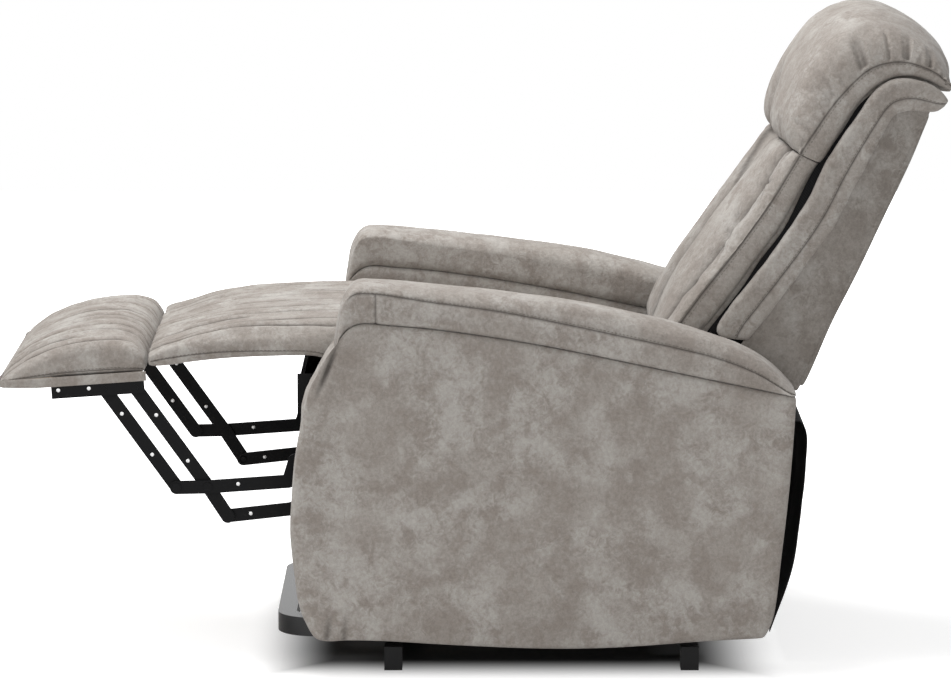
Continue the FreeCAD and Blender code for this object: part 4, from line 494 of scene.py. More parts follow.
class Sheet:
    """Small helper that lays out the nodes of one material or group."""

    def __init__(self, tree: bpy.types.NodeTree) -> None:
        """Start on an empty tree."""
        self.tree = tree
        tree.nodes.clear()

    def add(self, kind: str, settings: dict | None = None, **inputs: object) -> bpy.types.Node:
        """Add a node.

        Args:
            kind: the node's type name.
            settings: its properties.
            inputs: values or sockets for its inputs; spaces in names are written as underscores.

        Returns:
            The node.
        """
        node = self.tree.nodes.new(kind)
        for name, value in (settings or {}).items():
            setattr(node, name, value)
        for name, value in inputs.items():
            self.plug(node.inputs[name.replace("_", " ")], value)
        return node

    def plug(self, socket: bpy.types.NodeSocket, value: object) -> None:
        """Give an input a value, or wire another node's output to it."""
        if isinstance(value, bpy.types.NodeSocket):
            self.tree.links.new(value, socket)
        else:
            socket.default_value = value

    def mix(self, share: object, low: object, high: object, blend: str = "MIX") -> bpy.types.NodeSocket:
        """Colour between two others, each a colour or a socket."""
        node = self.add("ShaderNodeMix", {"data_type": "RGBA", "blend_type": blend})
        self.plug(node.inputs[0], share)
        for place, colour in ((6, low), (7, high)):
            self.plug(node.inputs[place], (*colour, 1.0) if isinstance(colour, tuple) else colour)
        return node.outputs[2]

    def maths(self, operation: str, first: object, second: object = 0.0) -> bpy.types.NodeSocket:
        """Result of one sum."""
        node = self.add("ShaderNodeMath", {"operation": operation})
        self.plug(node.inputs[0], first)
        self.plug(node.inputs[1], second)
        return node.outputs[0]

    def linear(self, value: object, scale: float, start: float) -> bpy.types.NodeSocket:
        """Value times a scale, from a start."""
        result = self.maths("MULTIPLY_ADD", value, scale)
        result.node.inputs[2].default_value = start
        return result

    def ramp(self, value: object, low: float, high: float) -> bpy.types.NodeSocket:
        """Smooth 0 to 1 between two values."""
        node = self.add("ShaderNodeMapRange", {"interpolation_type": "SMOOTHSTEP"})
        self.plug(node.inputs["Value"], value)
        node.inputs["From Min"].default_value = low
        node.inputs["From Max"].default_value = high
        return node.outputs["Result"]

    def noise(self, vector: object, scale: object, detail: float = 3.0, rough: object = 0.5,
              bend: float = 0.0) -> bpy.types.NodeSocket:
        """Noise value at a place."""
        node = self.add("ShaderNodeTexNoise", Vector=vector, Scale=scale, Detail=detail,
                        Roughness=rough, Distortion=bend)
        return node.outputs["Fac"]


def new_group(name: str, inputs: Sequence[tuple[str, str, object]],
              outputs: Sequence[tuple[str, str]]) -> tuple[bpy.types.NodeTree, Sheet, object, object]:
    """Empty shader group with named sockets.

    Args:
        name: the group's name.
        inputs: name, socket type and first value of each input.
        outputs: name and socket type of each output.

    Returns:
        The group, its layout helper, and its input and output nodes.
    """
    group = bpy.data.node_groups.new(name, "ShaderNodeTree")
    for label, kind, value in inputs:
        socket = group.interface.new_socket(label, in_out="INPUT", socket_type=kind)
        if value is not None:
            socket.default_value = value
    for label, kind in outputs:
        group.interface.new_socket(label, in_out="OUTPUT", socket_type=kind)
    sheet = Sheet(group)
    return group, sheet, group.nodes.new("NodeGroupInput"), group.nodes.new("NodeGroupOutput")


def mottling_group() -> bpy.types.NodeTree:
    """Cloudy patches of a brushed nap: large blotches with finer, torn edges."""
    group, sheet, given, result = new_group(
        "nap_mottling",
        (("Place", "NodeSocketVector", None), ("Blotches per metre", "NodeSocketFloat", 9.0),
         ("Torn edge", "NodeSocketFloat", 0.5)),
        (("Tone", "NodeSocketFloat"), ("Warmth", "NodeSocketFloat")))
    place, scale = given.outputs["Place"], given.outputs["Blotches per metre"]
    large = sheet.noise(place, scale, 5.0, given.outputs["Torn edge"], 0.35)
    small = sheet.noise(place, sheet.maths("MULTIPLY", scale, 4.3), 6.0, 0.72, 0.9)
    shifted = sheet.add("ShaderNodeVectorMath", {"operation": "ADD"})
    sheet.plug(shifted.inputs[0], place)
    shifted.inputs[1].default_value = (3.7, 1.9, 5.1)
    warm = sheet.noise(shifted.outputs[0], sheet.maths("MULTIPLY", scale, 0.62), 4.0, 0.55, 0.5)
    both = sheet.maths("ADD", sheet.maths("MULTIPLY", large, 0.55), sheet.maths("MULTIPLY", small, 0.45))
    sheet.plug(result.inputs["Tone"], sheet.ramp(both, 0.39, 0.61))
    sheet.plug(result.inputs["Warmth"], sheet.ramp(warm, 0.4, 0.62))
    return group


def wear_group() -> bpy.types.NodeTree:
    """Thin scuffs and settled dust on a hard finish."""
    group, sheet, given, result = new_group(
        "scuffs_and_dust",
        (("Place", "NodeSocketVector", None), ("Scuffs per metre", "NodeSocketFloat", 60.0),
         ("Dust", "NodeSocketFloat", 0.3)),
        (("Scuff", "NodeSocketFloat"), ("Dust", "NodeSocketFloat"), ("Grain", "NodeSocketFloat")))
    place, scale = given.outputs["Place"], given.outputs["Scuffs per metre"]
    broad = sheet.noise(place, scale, 6.0, 0.7, 1.2)
    grain = sheet.noise(place, sheet.maths("MULTIPLY", scale, 22.0), 2.0, 0.5)
    facing = sheet.add("ShaderNodeNewGeometry")
    upward = sheet.add("ShaderNodeSeparateXYZ", Vector=facing.outputs["Normal"])
    lit = sheet.ramp(upward.outputs["Z"], 0.2, 0.95)
    dust = sheet.maths("MULTIPLY", lit, sheet.ramp(broad, 0.35, 0.7))
    sheet.plug(result.inputs["Scuff"], sheet.ramp(broad, 0.6, 0.72))
    sheet.plug(result.inputs["Dust"], sheet.maths("MULTIPLY", dust, given.outputs["Dust"]))
    sheet.plug(result.inputs["Grain"], grain)
    return group


def weave_group() -> bpy.types.NodeTree:
    """Over-and-under threads on two directions of the cloth's own place."""
    group, sheet, given, result = new_group(
        "woven_threads",
        (("Place", "NodeSocketVector", None), ("Threads per metre", "NodeSocketFloat", 400.0)),
        (("Height", "NodeSocketFloat"), ("Thread", "NodeSocketFloat")))
    split = sheet.add("ShaderNodeSeparateXYZ", Vector=given.outputs["Place"])
    rate = sheet.maths("MULTIPLY", given.outputs["Threads per metre"], math.pi)
    upright = sheet.maths("ADD", split.outputs["Y"], split.outputs["Z"])
    turns = [sheet.maths("MULTIPLY", place, rate) for place in (split.outputs["X"], upright)]
    waves = [sheet.maths("SINE", turn) for turn in turns]
    lifted = sheet.linear(sheet.maths("MULTIPLY", *waves), 0.5, 0.5)
    fuzz = sheet.noise(given.outputs["Place"], 2500.0, 2.0)
    sheet.plug(result.inputs["Height"], sheet.maths("ADD", lifted, sheet.maths("MULTIPLY", fuzz, 0.3)))
    sheet.plug(result.inputs["Thread"], lifted)
    return group


class Effects:
    """Shader groups that several finishes share, built once."""

    groups: dict[str, bpy.types.NodeTree] = {}

    @classmethod
    def get(cls, name: str) -> bpy.types.NodeTree:
        """The group with this name, made at its first use."""
        makers = {"mottling": mottling_group, "wear": wear_group, "weave": weave_group}
        if name not in cls.groups:
            cls.groups[name] = makers[name]()
        return cls.groups[name]


@dataclass(frozen=True)
class Finish:
    """One finish; each kind fills its own nodes."""

    name: str

    def material(self) -> bpy.types.Material:
        """The finish's material, made at its first use."""
        known = bpy.data.materials.get(self.name)
        if known:
            return known
        made = bpy.data.materials.new(self.name)
        made.use_nodes = True
        sheet = Sheet(made.node_tree)
        place = sheet.add("ShaderNodeTexCoord").outputs["Object"]
        shader = sheet.add("ShaderNodeBsdfPrincipled")
        self.dress(sheet, shader, place)
        out = sheet.add("ShaderNodeOutputMaterial")
        sheet.plug(out.inputs["Surface"], shader.outputs["BSDF"])
        made.diffuse_color = (*self.swatch(), 1.0)
        return made

    def swatch(self) -> Colour:
        """Plain colour for the viewport."""
        return (0.5, 0.5, 0.5)

    def dress(self, sheet: Sheet, shader: bpy.types.Node, place: bpy.types.NodeSocket) -> None:
        """Wire the shader's inputs."""
        raise NotImplementedError

    @staticmethod
    def effect(sheet: Sheet, name: str, place: bpy.types.NodeSocket) -> bpy.types.Node:
        """Place a shared group in this material."""
        node = sheet.add("ShaderNodeGroup", {"node_tree": Effects.get(name)})
        sheet.plug(node.inputs["Place"], place)
        return node

    @staticmethod
    def bump(sheet: Sheet, shader: bpy.types.Node, height: object, depth: float, strength: float) -> None:
        """Raise the surface by a height."""
        node = sheet.add("ShaderNodeBump", Height=height, Distance=depth, Strength=strength)
        sheet.plug(shader.inputs["Normal"], node.outputs["Normal"])


@dataclass(frozen=True)
class Suede(Finish):
    """Brushed suede-look cloth with cloudy patches."""

    dark: Colour = (0.264, 0.234, 0.209)
    plain: Colour = (0.334, 0.307, 0.28)
    pale: Colour = (0.404, 0.382, 0.356)
    # colour of the painted shade at the bottom of folds and seams
    crease: Colour = (0.035, 0.029, 0.025)
    blotches: float = 18.0

    def swatch(self) -> Colour:
        """The plain tone."""
        return self.plain

    def dress(self, sheet: Sheet, shader: bpy.types.Node, place: bpy.types.NodeSocket) -> None:
        """Patches in the colour, painted shade in folds and seams, a dull nap and a soft sheen."""
        patches = self.effect(sheet, "mottling", place)
        patches.inputs["Blotches per metre"].default_value = self.blotches
        patches.inputs["Torn edge"].default_value = 0.6
        ground = sheet.mix(patches.outputs["Tone"], self.dark, self.plain)
        light = sheet.maths("MULTIPLY", patches.outputs["Tone"], patches.outputs["Warmth"])
        colour = sheet.mix(light, ground, self.pale)
        nap = sheet.noise(place, 900.0, 3.0, 0.6)
        grain = sheet.noise(place, 170.0, 5.0, 0.75, 0.6)
        speck = sheet.mix(sheet.ramp(grain, 0.32, 0.68), (0.88, 0.875, 0.87), (1.1, 1.1, 1.1))
        # painted shade: the fold attribute darkens the colour towards the crease colour in folds and seams
        fold = sheet.add("ShaderNodeAttribute", {"attribute_name": "fold"}).outputs["Fac"]
        speckled = sheet.mix(1.0, colour, speck, "MULTIPLY")
        sheet.plug(shader.inputs["Base Color"], sheet.mix(fold, speckled, self.crease))
        sheet.plug(shader.inputs["Roughness"], sheet.linear(patches.outputs["Tone"], -0.08, 0.93))
        shader.inputs["Sheen Weight"].default_value = 0.12
        shader.inputs["Sheen Roughness"].default_value = 0.5
        shader.inputs["Specular IOR Level"].default_value = 0.25
        crumple = sheet.noise(place, 60.0, 5.0, 0.62, 0.8)
        height = sheet.maths("ADD", sheet.maths("MULTIPLY", nap, 0.22), sheet.maths("MULTIPLY", crumple, 0.9))
        self.bump(sheet, shader, height, 0.003, 0.6)


@dataclass(frozen=True)
class Woven(Finish):
    """Plain woven or felted cloth."""

    colour: Colour = (0.02, 0.02, 0.021)
    thread: Colour = (0.05, 0.05, 0.052)
    threads: float = 500.0

    def swatch(self) -> Colour:
        """The cloth's colour."""
        return self.colour

    def dress(self, sheet: Sheet, shader: bpy.types.Node, place: bpy.types.NodeSocket) -> None:
        """Threads in the colour and in the bump."""
        threads = self.effect(sheet, "weave", place)
        threads.inputs["Threads per metre"].default_value = self.threads
        worn = sheet.noise(place, 14.0, 4.0, 0.6)
        base = sheet.mix(threads.outputs["Thread"], self.colour, self.thread)
        soft = sheet.mix(worn, (0.8, 0.8, 0.8), (1.25, 1.25, 1.25))
        sheet.plug(shader.inputs["Base Color"], sheet.mix(1.0, base, soft, "MULTIPLY"))
        sheet.plug(shader.inputs["Roughness"], sheet.ramp(worn, -1.5, 1.1))
        shader.inputs["Specular IOR Level"].default_value = 0.15
        self.bump(sheet, shader, threads.outputs["Height"], 0.0006, 0.6)


@dataclass(frozen=True)
class Hard(Finish):
    """Painted, plated or moulded finish with scuffs, dust and a fine grain."""

    colour: Colour = (0.02, 0.02, 0.021)
    worn: Colour = (0.06, 0.06, 0.062)
    roughness: float = 0.42
    metallic: float = 0.0
    scuffs: float = 60.0
    grain: float = 0.25
    dust: float = 0.25
    coat: float = 0.0
    shine: float = 0.5

    def swatch(self) -> Colour:
        """The finish's colour."""
        return self.colour

    def dress(self, sheet: Sheet, shader: bpy.types.Node, place: bpy.types.NodeSocket) -> None:
        """Scuffs and dust in the colour, grain in the gloss and the bump."""
        marks = self.effect(sheet, "wear", place)
        marks.inputs["Scuffs per metre"].default_value = self.scuffs
        marks.inputs["Dust"].default_value = self.dust
        worn = sheet.mix(sheet.maths("MULTIPLY", marks.outputs["Scuff"], 0.5), self.colour, self.worn)
        dusty = sheet.mix(sheet.maths("MULTIPLY", marks.outputs["Dust"], 0.25), worn, (0.3, 0.29, 0.28))
        sheet.plug(shader.inputs["Base Color"], dusty)
        shader.inputs["Metallic"].default_value = self.metallic
        rough = sheet.linear(marks.outputs["Grain"], 0.16, self.roughness - 0.08)
        settled = sheet.maths("MULTIPLY", marks.outputs["Dust"], 0.3)
        sheet.plug(shader.inputs["Roughness"], sheet.maths("ADD", rough, settled))
        shader.inputs["Coat Weight"].default_value = self.coat
        shader.inputs["Specular IOR Level"].default_value = self.shine
        self.bump(sheet, shader, marks.outputs["Grain"], 0.0004, self.grain)


@dataclass(frozen=True)
class Timber(Finish):
    """Planed softwood with long grain."""

    pale: Colour = (0.58, 0.42, 0.25)
    dark: Colour = (0.33, 0.2, 0.1)

    def swatch(self) -> Colour:
        """The pale wood."""
        return self.pale

    def dress(self, sheet: Sheet, shader: bpy.types.Node, place: bpy.types.NodeSocket) -> None:
        """Stretched rings and fine pores."""
        stretched = sheet.add("ShaderNodeMapping", Vector=place, Scale=(1.0, 8.0, 8.0))
        rings = sheet.noise(stretched.outputs["Vector"], 9.0, 6.0, 0.6, 1.5)
        pores = sheet.noise(stretched.outputs["Vector"], 160.0, 3.0, 0.6)
        colour = sheet.mix(sheet.ramp(rings, 0.35, 0.65), self.pale, self.dark)
        sheet.plug(shader.inputs["Base Color"], colour)
        sheet.plug(shader.inputs["Roughness"], sheet.ramp(pores, -1.0, 1.2))
        self.bump(sheet, shader, pores, 0.0005, 0.35)


SUEDE = Suede("suede")
# darker copy of the suede, for painted shade on the side panels, the rear panel and the arm fronts' padding
SUEDE_PAINTED_SHADE = Suede("suede_painted_shade", dark=(0.2, 0.178, 0.158), plain=(0.25, 0.228, 0.206),
                    pale=(0.3, 0.282, 0.26))
THREAD = Woven("seam_thread", (0.15, 0.132, 0.115), (0.2, 0.18, 0.16), threads=900.0)
DUST_CLOTH = Woven("black_dust_cloth", (0.008, 0.008, 0.0085), (0.018, 0.018, 0.019), threads=420.0)
WEBBING = Woven("black_webbing", (0.03, 0.03, 0.031), (0.09, 0.09, 0.092), threads=260.0)
BLACK_STEEL = Hard("black_powder_coat", (0.006, 0.006, 0.0065), (0.016, 0.016, 0.017), roughness=0.5,
                   dust=0.0, shine=0.12)
GLOSS_STEEL = Hard("glossy_powder_coat", (0.008, 0.008, 0.0085), (0.02, 0.02, 0.021), roughness=0.2,
                   dust=0.0, grain=0.08, shine=0.55)
BRIGHT_STEEL = Hard("ground_steel", (0.6, 0.6, 0.61), (0.42, 0.42, 0.43), roughness=0.25,
                    metallic=1.0, dust=0.0, grain=0.1)
RIVET_STEEL = Hard("zinc_rivet", (0.8, 0.8, 0.8), (0.66, 0.66, 0.66), roughness=0.42,
                   metallic=0.8, dust=0.0, grain=0.15)
BLACK_PLASTIC = Hard("moulded_black_plastic", (0.008, 0.008, 0.0085), (0.02, 0.02, 0.021),
                     roughness=0.5, grain=0.5, dust=0.08, shine=0.3)
ROCKER = Hard("grey_rocker_plastic", (0.2, 0.205, 0.21), (0.3, 0.3, 0.31), roughness=0.35, coat=0.2)
PINE = Timber("planed_pine")
# painted shade: black in place of the timber's own colour, where the frame shows in gaps that lie in deep
# shade
BOARD_PAINTED_SHADE = Hard("board_painted_shade", (0.01, 0.01, 0.0105), (0.02, 0.02, 0.021), roughness=0.8,
                  dust=0.0, shine=0.1)
FINISH_OF_SLOT: dict[Slot, Finish] = {
    Slot.SUEDE: SUEDE, Slot.DUST_CLOTH: DUST_CLOTH, Slot.WEBBING: WEBBING,
    Slot.BLACK_STEEL: BLACK_STEEL, Slot.BRIGHT_STEEL: BRIGHT_STEEL,
    Slot.BLACK_PLASTIC: BLACK_PLASTIC, Slot.ROCKER: ROCKER, Slot.TIMBER: PINE,
}


def paint(thing: bpy.types.Object, finish: Finish) -> None:
    """Give every face of a piece one finish."""
    thing.data.materials.clear()
    thing.data.materials.append(finish.material())


def hand_over(thing: bpy.types.Object, finish: Finish, slot: Slot, body: str, *nodes: str) -> None:
    """Finish a piece, let it ride on a body and let it stand for CAD nodes."""
    paint(thing, finish)
    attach(thing, body)
    if nodes:
        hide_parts(*nodes)
    LOG.info("%s: %d faces on %s", thing.name, len(thing.data.polygons), body)


# Cloth over the padding

@dataclass
class Gathers:
    """Long creases that run along a pad where its cloth is drawn in, with a soft ridge beside each."""

    seed: int
    half_width: float
    count: int = 12
    depth: float = 5.0
    width: float = 4.2

    def lay(self, across: Array, along: Array, share: Array) -> tuple[Array, Array]:
        """Lay the creases over a pad.

        Args:
            across: place across the pad, in millimetres from its middle.
            along: place along the pad.
            share: 0 where the cloth lies smooth, 1 where it is gathered most.

        Returns:
            Height over the smooth cloth in millimetres, and the painted shade in the creases.
        """
        maker = np.random.default_rng(self.seed)
        noise = Noise(self.seed)
        pitch = 2.0 * self.half_width / self.count
        total = 0.9 * noise.layers(across / 46.0, along / 120.0, 0.0, 2)
        shade = np.zeros(len(across))
        for index in range(self.count):
            middle = -self.half_width + (index + 0.5 + maker.uniform(-0.3, 0.3)) * pitch
            strength = maker.uniform(0.45, 1.0)
            sway = 11.0 * noise.at(along / 105.0, index * 1.7 + 0.4)
            fade = smooth_step(noise.at(along / 85.0, index * 2.3 + 9.1), -0.75, 0.15)
            line = across - middle - sway
            crease = np.exp(-np.abs(line / self.width))
            ridge = np.exp(-(((np.abs(line) - 3.6 * self.width) / (2.4 * self.width)) ** 2))
            total = total + self.depth * strength * fade * (0.35 * ridge - crease)
            shade = np.maximum(shade, (0.4 + 0.6 * strength) * fade * np.exp(-((line / self.width) ** 2)))
        return total * share, 0.95 * shade * np.minimum(1.3 * share, 1.0)

    def draw_in(self, thing: bpy.types.Object, share: Array, level: float, depth: float) -> None:
        """Crease the top of a pad, press the seam into its sides and keep painted shade in the creases and
        along the seam.

        Args:
            thing: pad with its pattern.
            share: how much each vertex is gathered.
            level: place of the seam through the pad's pattern.
            depth: how deep the seam lies.
        """
        places, normals, pattern = surface(thing)
        folds, shade = self.lay(pattern[:, 0], pattern[:, 1], share)
        places = places + normals * folds[:, None]
        side = smooth_step(np.abs(pattern[:, 0]), PAD_HALF - 1.0, PAD_HALF)
        line = off_seam(pattern, level, side > 0.5)
        move_corners(thing, press_seam(places, normals, line, depth))
        keep_painted_shade(thing, shade, seam_shade(line))


def off_seam(pattern: Array, level: float, wall: Array) -> Array:
    """Distance of each vertex of a wall from the seam at a level of its pattern."""
    return np.where(wall, np.abs(pattern[:, 2] - level), FAR)


def press_seam(places: Array, normals: Array, distance: Array, depth: float = 1.8,
               width: float = 2.0) -> Array:
    """Sink a narrow groove where a seam pulls the cloth in, with soft shoulders beside it."""
    groove = depth * np.exp(-((distance / width) ** 2))
    shoulders = 0.35 * depth * np.exp(-((distance / (4.0 * width)) ** 2))
    return places - normals * (groove + shoulders)[:, None]


def seam_shade(distance: Array, width: float = 1.2) -> Array:
    """Painted shade: a dark line at the bottom of a seam."""
    return 0.75 * np.exp(-((distance / width) ** 2))


def seam_places(thing: bpy.types.Object, chosen: Array, lift: float = 0.35) -> Array:
    """Places along a seam, in the order of the pattern, just above the cloth.

    Args:
        thing: finished piece with its pattern.
        chosen: true for the vertices on the seam.
        lift: height over the cloth, in millimetres.

    Returns:
        One row for each vertex of the seam.
    """
    places, normals, pattern = surface(thing)
    order = np.argsort(pattern[chosen, 1], kind="stable")
    return (places[chosen] + normals[chosen] * lift)[order]


def side_seams(thing: bpy.types.Object, half_width: float, level: float) -> list[Array]:
    """Lines beside the seam on both sides of a pad.

    Args:
        thing: finished piece with its pattern.
        half_width: half the width of its pattern.
        level: place of the line through the pad's pattern.

    Returns:
        One line for each side of the pad.
    """
    pattern = read_pattern(thing)
    on_line = (np.abs(pattern[:, 2] - level) < ON_LINE) & (np.abs(pattern[:, 0]) > half_width - ON_LINE)
    return [seam_places(thing, on_line & (pattern[:, 0] * side.value > 0)) for side in Side]


@dataclass(frozen=True)
class ClothSettings:
    """How a padded piece is blown up and wrinkled by the cloth solver."""

    limit: float
    pressure: float = 1.8
    wide: float = 1.0
    long: float = 1.0
    frames: int = 14
    quality: int = 5
    mass: float = 0.15
    stiffness: float = 12.0
    shear: float = 0.4
    bending: float = 0.35
    damping: float = 8.0
    air: float = 3.0
    pins: float = 2.0

    def rule(self, cloth: bpy.types.ClothModifier) -> None:
        """Hand these values to a cloth modifier, without gravity or collisions."""
        rules = cloth.settings
        rules.quality = self.quality
        rules.mass = self.mass
        rules.tension_stiffness = self.stiffness
        rules.compression_stiffness = self.stiffness
        rules.shear_stiffness = self.stiffness * self.shear
        rules.bending_stiffness = self.bending
        rules.tension_damping = self.damping
        rules.compression_damping = self.damping
        rules.bending_damping = 1.0
        rules.air_damping = self.air
        rules.use_pressure = True
        rules.uniform_pressure_force = self.pressure
        rules.vertex_group_mass = "held"
        rules.pin_stiffness = self.pins
        rules.effector_weights.gravity = 0.0
        cloth.collision_settings.use_collision = False
        cloth.collision_settings.use_self_collision = False


def inflate(thing: bpy.types.Object, settings: ClothSettings, held: Array) -> None:
    """Fill the piece with air under its own cloth, and keep what comes out.

    Args:
        thing: closed piece.
        settings: pressure, cloth and limits.
        held: share from 0 to 1 by which each vertex is held in place.
    """
    start = corner_places(thing)
    middle = start.mean(axis=0)
    rest = start.copy()
    rest[:, 0] = middle[0] + (start[:, 0] - middle[0]) * settings.wide
    rest[:, 1:] = middle[1:] + (start[:, 1:] - middle[1:]) * settings.long
    thing.shape_key_add(name="Basis")
    cut = thing.shape_key_add(name="cut")
    cut.data.foreach_set("co", (rest * METRE).ravel())
    cut.value = 0.0
    pins = thing.vertex_groups.new(name="held")
    for index in np.nonzero(held > 0.01)[0]:
        pins.add([int(index)], float(held[index]), "REPLACE")
    cloth = thing.modifiers.new("cloth", "CLOTH")
    settings.rule(cloth)
    cloth.settings.rest_shape_key = cut
    scene = bpy.context.scene
    for frame_number in range(1, settings.frames + 1):
        scene.frame_set(frame_number)
    graph = bpy.context.evaluated_depsgraph_get()
    blown = bpy.data.meshes.new_from_object(thing.evaluated_get(graph))
    flat = np.zeros(len(blown.vertices) * 3)
    blown.vertices.foreach_get("co", flat)
    bpy.data.meshes.remove(blown)
    scene.frame_set(1)
    thing.modifiers.clear()
    thing.shape_key_clear()
    thing.vertex_groups.clear()
    moved = flat.reshape(-1, 3) / METRE - start
    reach = np.linalg.norm(moved, axis=1, keepdims=True)
    moved *= settings.limit * np.tanh(reach / settings.limit) / np.maximum(reach, TINY)
    move_corners(thing, start + moved)
    LOG.info("%s: cloth moved %.1f mm at most", thing.name, float(np.linalg.norm(moved, axis=1).max()))


# Rivets and stitches

class Repeats(Sheet):
    """Node tree that repeats one small shape, with its modifier and the plain mesh it leaves."""

    def __init__(self, name: str, inputs: Sequence[tuple[str, str]]) -> None:
        """Start a tree with a mesh in, a mesh out and named inputs."""
        super().__init__(bpy.data.node_groups.new(name, "GeometryNodeTree"))
        self.tree.interface.new_socket("Geometry", in_out="INPUT", socket_type="NodeSocketGeometry")
        for label, kind in inputs:
            self.tree.interface.new_socket(label, in_out="INPUT", socket_type=kind)
        self.tree.interface.new_socket("Geometry", in_out="OUTPUT", socket_type="NodeSocketGeometry")
        self.given = self.tree.nodes.new("NodeGroupInput")
        self.result = self.tree.nodes.new("NodeGroupOutput")

    def chance(self, low: float, high: float) -> bpy.types.NodeSocket:
        """Even chance between two values for each copy, drawn from the tree's seed."""
        node = self.add("FunctionNodeRandomValue", {"data_type": "FLOAT"})
        self.plug(node.inputs[2], low)
        self.plug(node.inputs[3], high)
        self.plug(node.inputs["Seed"], self.given.outputs["Seed"])
        return node.outputs[1]

    def finish(self, instances: bpy.types.NodeSocket) -> None:
        """Make the copies real and give them the material."""
        real = self.add("GeometryNodeRealizeInstances", Geometry=instances)
        named = self.add("GeometryNodeSetMaterial", Geometry=real.outputs["Geometry"],
                         Material=self.given.outputs["Material"])
        self.tree.links.new(named.outputs["Geometry"], self.result.inputs["Geometry"])

    def apply(self, thing: bpy.types.Object, values: dict[str, object]) -> None:
        """Run the tree on an object and keep what comes out as its plain mesh."""
        repeater = thing.modifiers.new("repeater", "NODES")
        repeater.node_group = self.tree
        for item in self.tree.interface.items_tree:
            if item.in_out == "INPUT" and item.name in values:
                repeater[item.identifier] = values[item.name]
        thing.update_tag()
        settle(thing)
        thing.data.shade_smooth()


def rivet_tree() -> Repeats:
    """Flat round head at each point, lying in the plane across the chair."""
    tree = Repeats("rivet_heads", (("Radius", "NodeSocketFloat"), ("Height", "NodeSocketFloat"),
                                   ("Seed", "NodeSocketInt"), ("Material", "NodeSocketMaterial")))
    given = tree.given.outputs
    head = tree.add("GeometryNodeMeshUVSphere", Segments=12, Rings=4, Radius=1.0)
    size = tree.add("ShaderNodeCombineXYZ", X=given["Height"], Y=given["Radius"], Z=given["Radius"])
    spin = tree.add("ShaderNodeCombineXYZ", X=tree.chance(0.0, math.tau))
    copies = tree.add("GeometryNodeInstanceOnPoints", Points=given["Geometry"],
                      Instance=head.outputs["Mesh"], Rotation=spin.outputs["Vector"],
                      Scale=size.outputs["Vector"])
    tree.finish(copies.outputs["Instances"])
    return tree


def stitch_tree() -> Repeats:
    """Short thread lying along a seam at each step of its length."""
    tree = Repeats("stitches", (("Pitch", "NodeSocketFloat"), ("Length", "NodeSocketFloat"),
                                ("Thickness", "NodeSocketFloat"), ("Seed", "NodeSocketInt"),
                                ("Material", "NodeSocketMaterial")))
    given = tree.given.outputs
    line = tree.add("GeometryNodeMeshToCurve", Mesh=given["Geometry"])
    steps = tree.add("GeometryNodeResampleCurve", {"mode": "LENGTH"}, Curve=line.outputs["Curve"],
                     Length=given["Pitch"])
    thread = tree.add("GeometryNodeMeshUVSphere", Segments=6, Rings=5, Radius=0.5)
    tangent = tree.add("GeometryNodeInputTangent").outputs["Tangent"]
    heading = tree.add("FunctionNodeAlignRotationToVector", {"axis": "Z"}, Vector=tangent)
    length = tree.maths("MULTIPLY", given["Length"], tree.chance(0.82, 1.08))
    size = tree.add("ShaderNodeCombineXYZ", X=given["Thickness"], Y=given["Thickness"], Z=length)
    copies = tree.add("GeometryNodeInstanceOnPoints", Points=steps.outputs["Curve"],
                      Instance=thread.outputs["Mesh"], Rotation=heading.outputs["Rotation"],
                      Scale=size.outputs["Vector"])
    tree.finish(copies.outputs["Instances"])
    return tree


@dataclass
class Stitches:
    """Seams of one piece, sewn with separate threads."""

    name: str
    lines: Sequence[Array]
    pitch: float = 6.0
    length: float = 4.2
    thickness: float = 1.0
    tree: ClassVar[Repeats | None] = None

    def build(self) -> bpy.types.Object:
        """Lay threads along every line, a step apart."""
        places = np.vstack(self.lines)
        edges = []
        start = 0
        for line in self.lines:
            edges += [(start + index, start + index + 1) for index in range(len(line) - 1)]
            start += len(line)
        thing = wire_object(self.name, places, edges)
        if Stitches.tree is None:
            Stitches.tree = stitch_tree()
        Stitches.tree.apply(thing, {"Pitch": self.pitch * METRE, "Length": self.length * METRE,
                                    "Thickness": self.thickness * METRE, "Seed": SEED,
                                    "Material": THREAD.material()})
        return thing

    def dress(self, body: str) -> None:
        """Let the threads ride on a body."""
        hand_over(self.build(), THREAD, Slot.SUEDE, body)


@dataclass
class Rivets:
    """Bright rivet heads on both faces of the footrest's bars."""

    radius: float = 3.3
    height: float = 0.75
    layers: dict[str, tuple[float, float]] = field(default_factory=lambda: {
        "footrest": (266.0, 270.0), "steady_lever": (261.0, 265.0), "main_lever": (261.0, 265.0),
        "drive_link": (266.0, 270.0), "guide_link": (256.0, 260.0)})
    places: dict[str, Sequence[Pair]] = field(default_factory=lambda: {
        "footrest": ((-654, 435), (-606, 438)), "steady_lever": ((-555, 397), (-508, 332)),
        "main_lever": ((-501, 395), (-452, 322)), "drive_link": ((-373, 286),), "guide_link": ((-354, 237),)})

    def dress(self) -> None:
        """Set the heads of each body and let them ride on it."""
        tree = rivet_tree()
        for body, spots in self.places.items():
            inner, outer = self.layers[body]
            rows = [(side.value * x, y, z) for side in Side for x in (inner, outer) for y, z in spots]
            thing = wire_object(f"{body}_rivets", rows)
            tree.apply(thing, {"Radius": self.radius * METRE, "Height": self.height * METRE, "Seed": SEED,
                               "Material": RIVET_STEEL.material()})
            hand_over(thing, RIVET_STEEL, Slot.BRIGHT_STEEL, body)


# Seat and footrest

def bend_through(through: Array, line: float, share: Array | float) -> Array:
    """Slide one grid line of a pad's depth to the share where its seam runs."""
    below = through / line * share
    above = share + (through - line) / (1.0 - line) * (1.0 - share)
    return np.where(through < line, below, above)


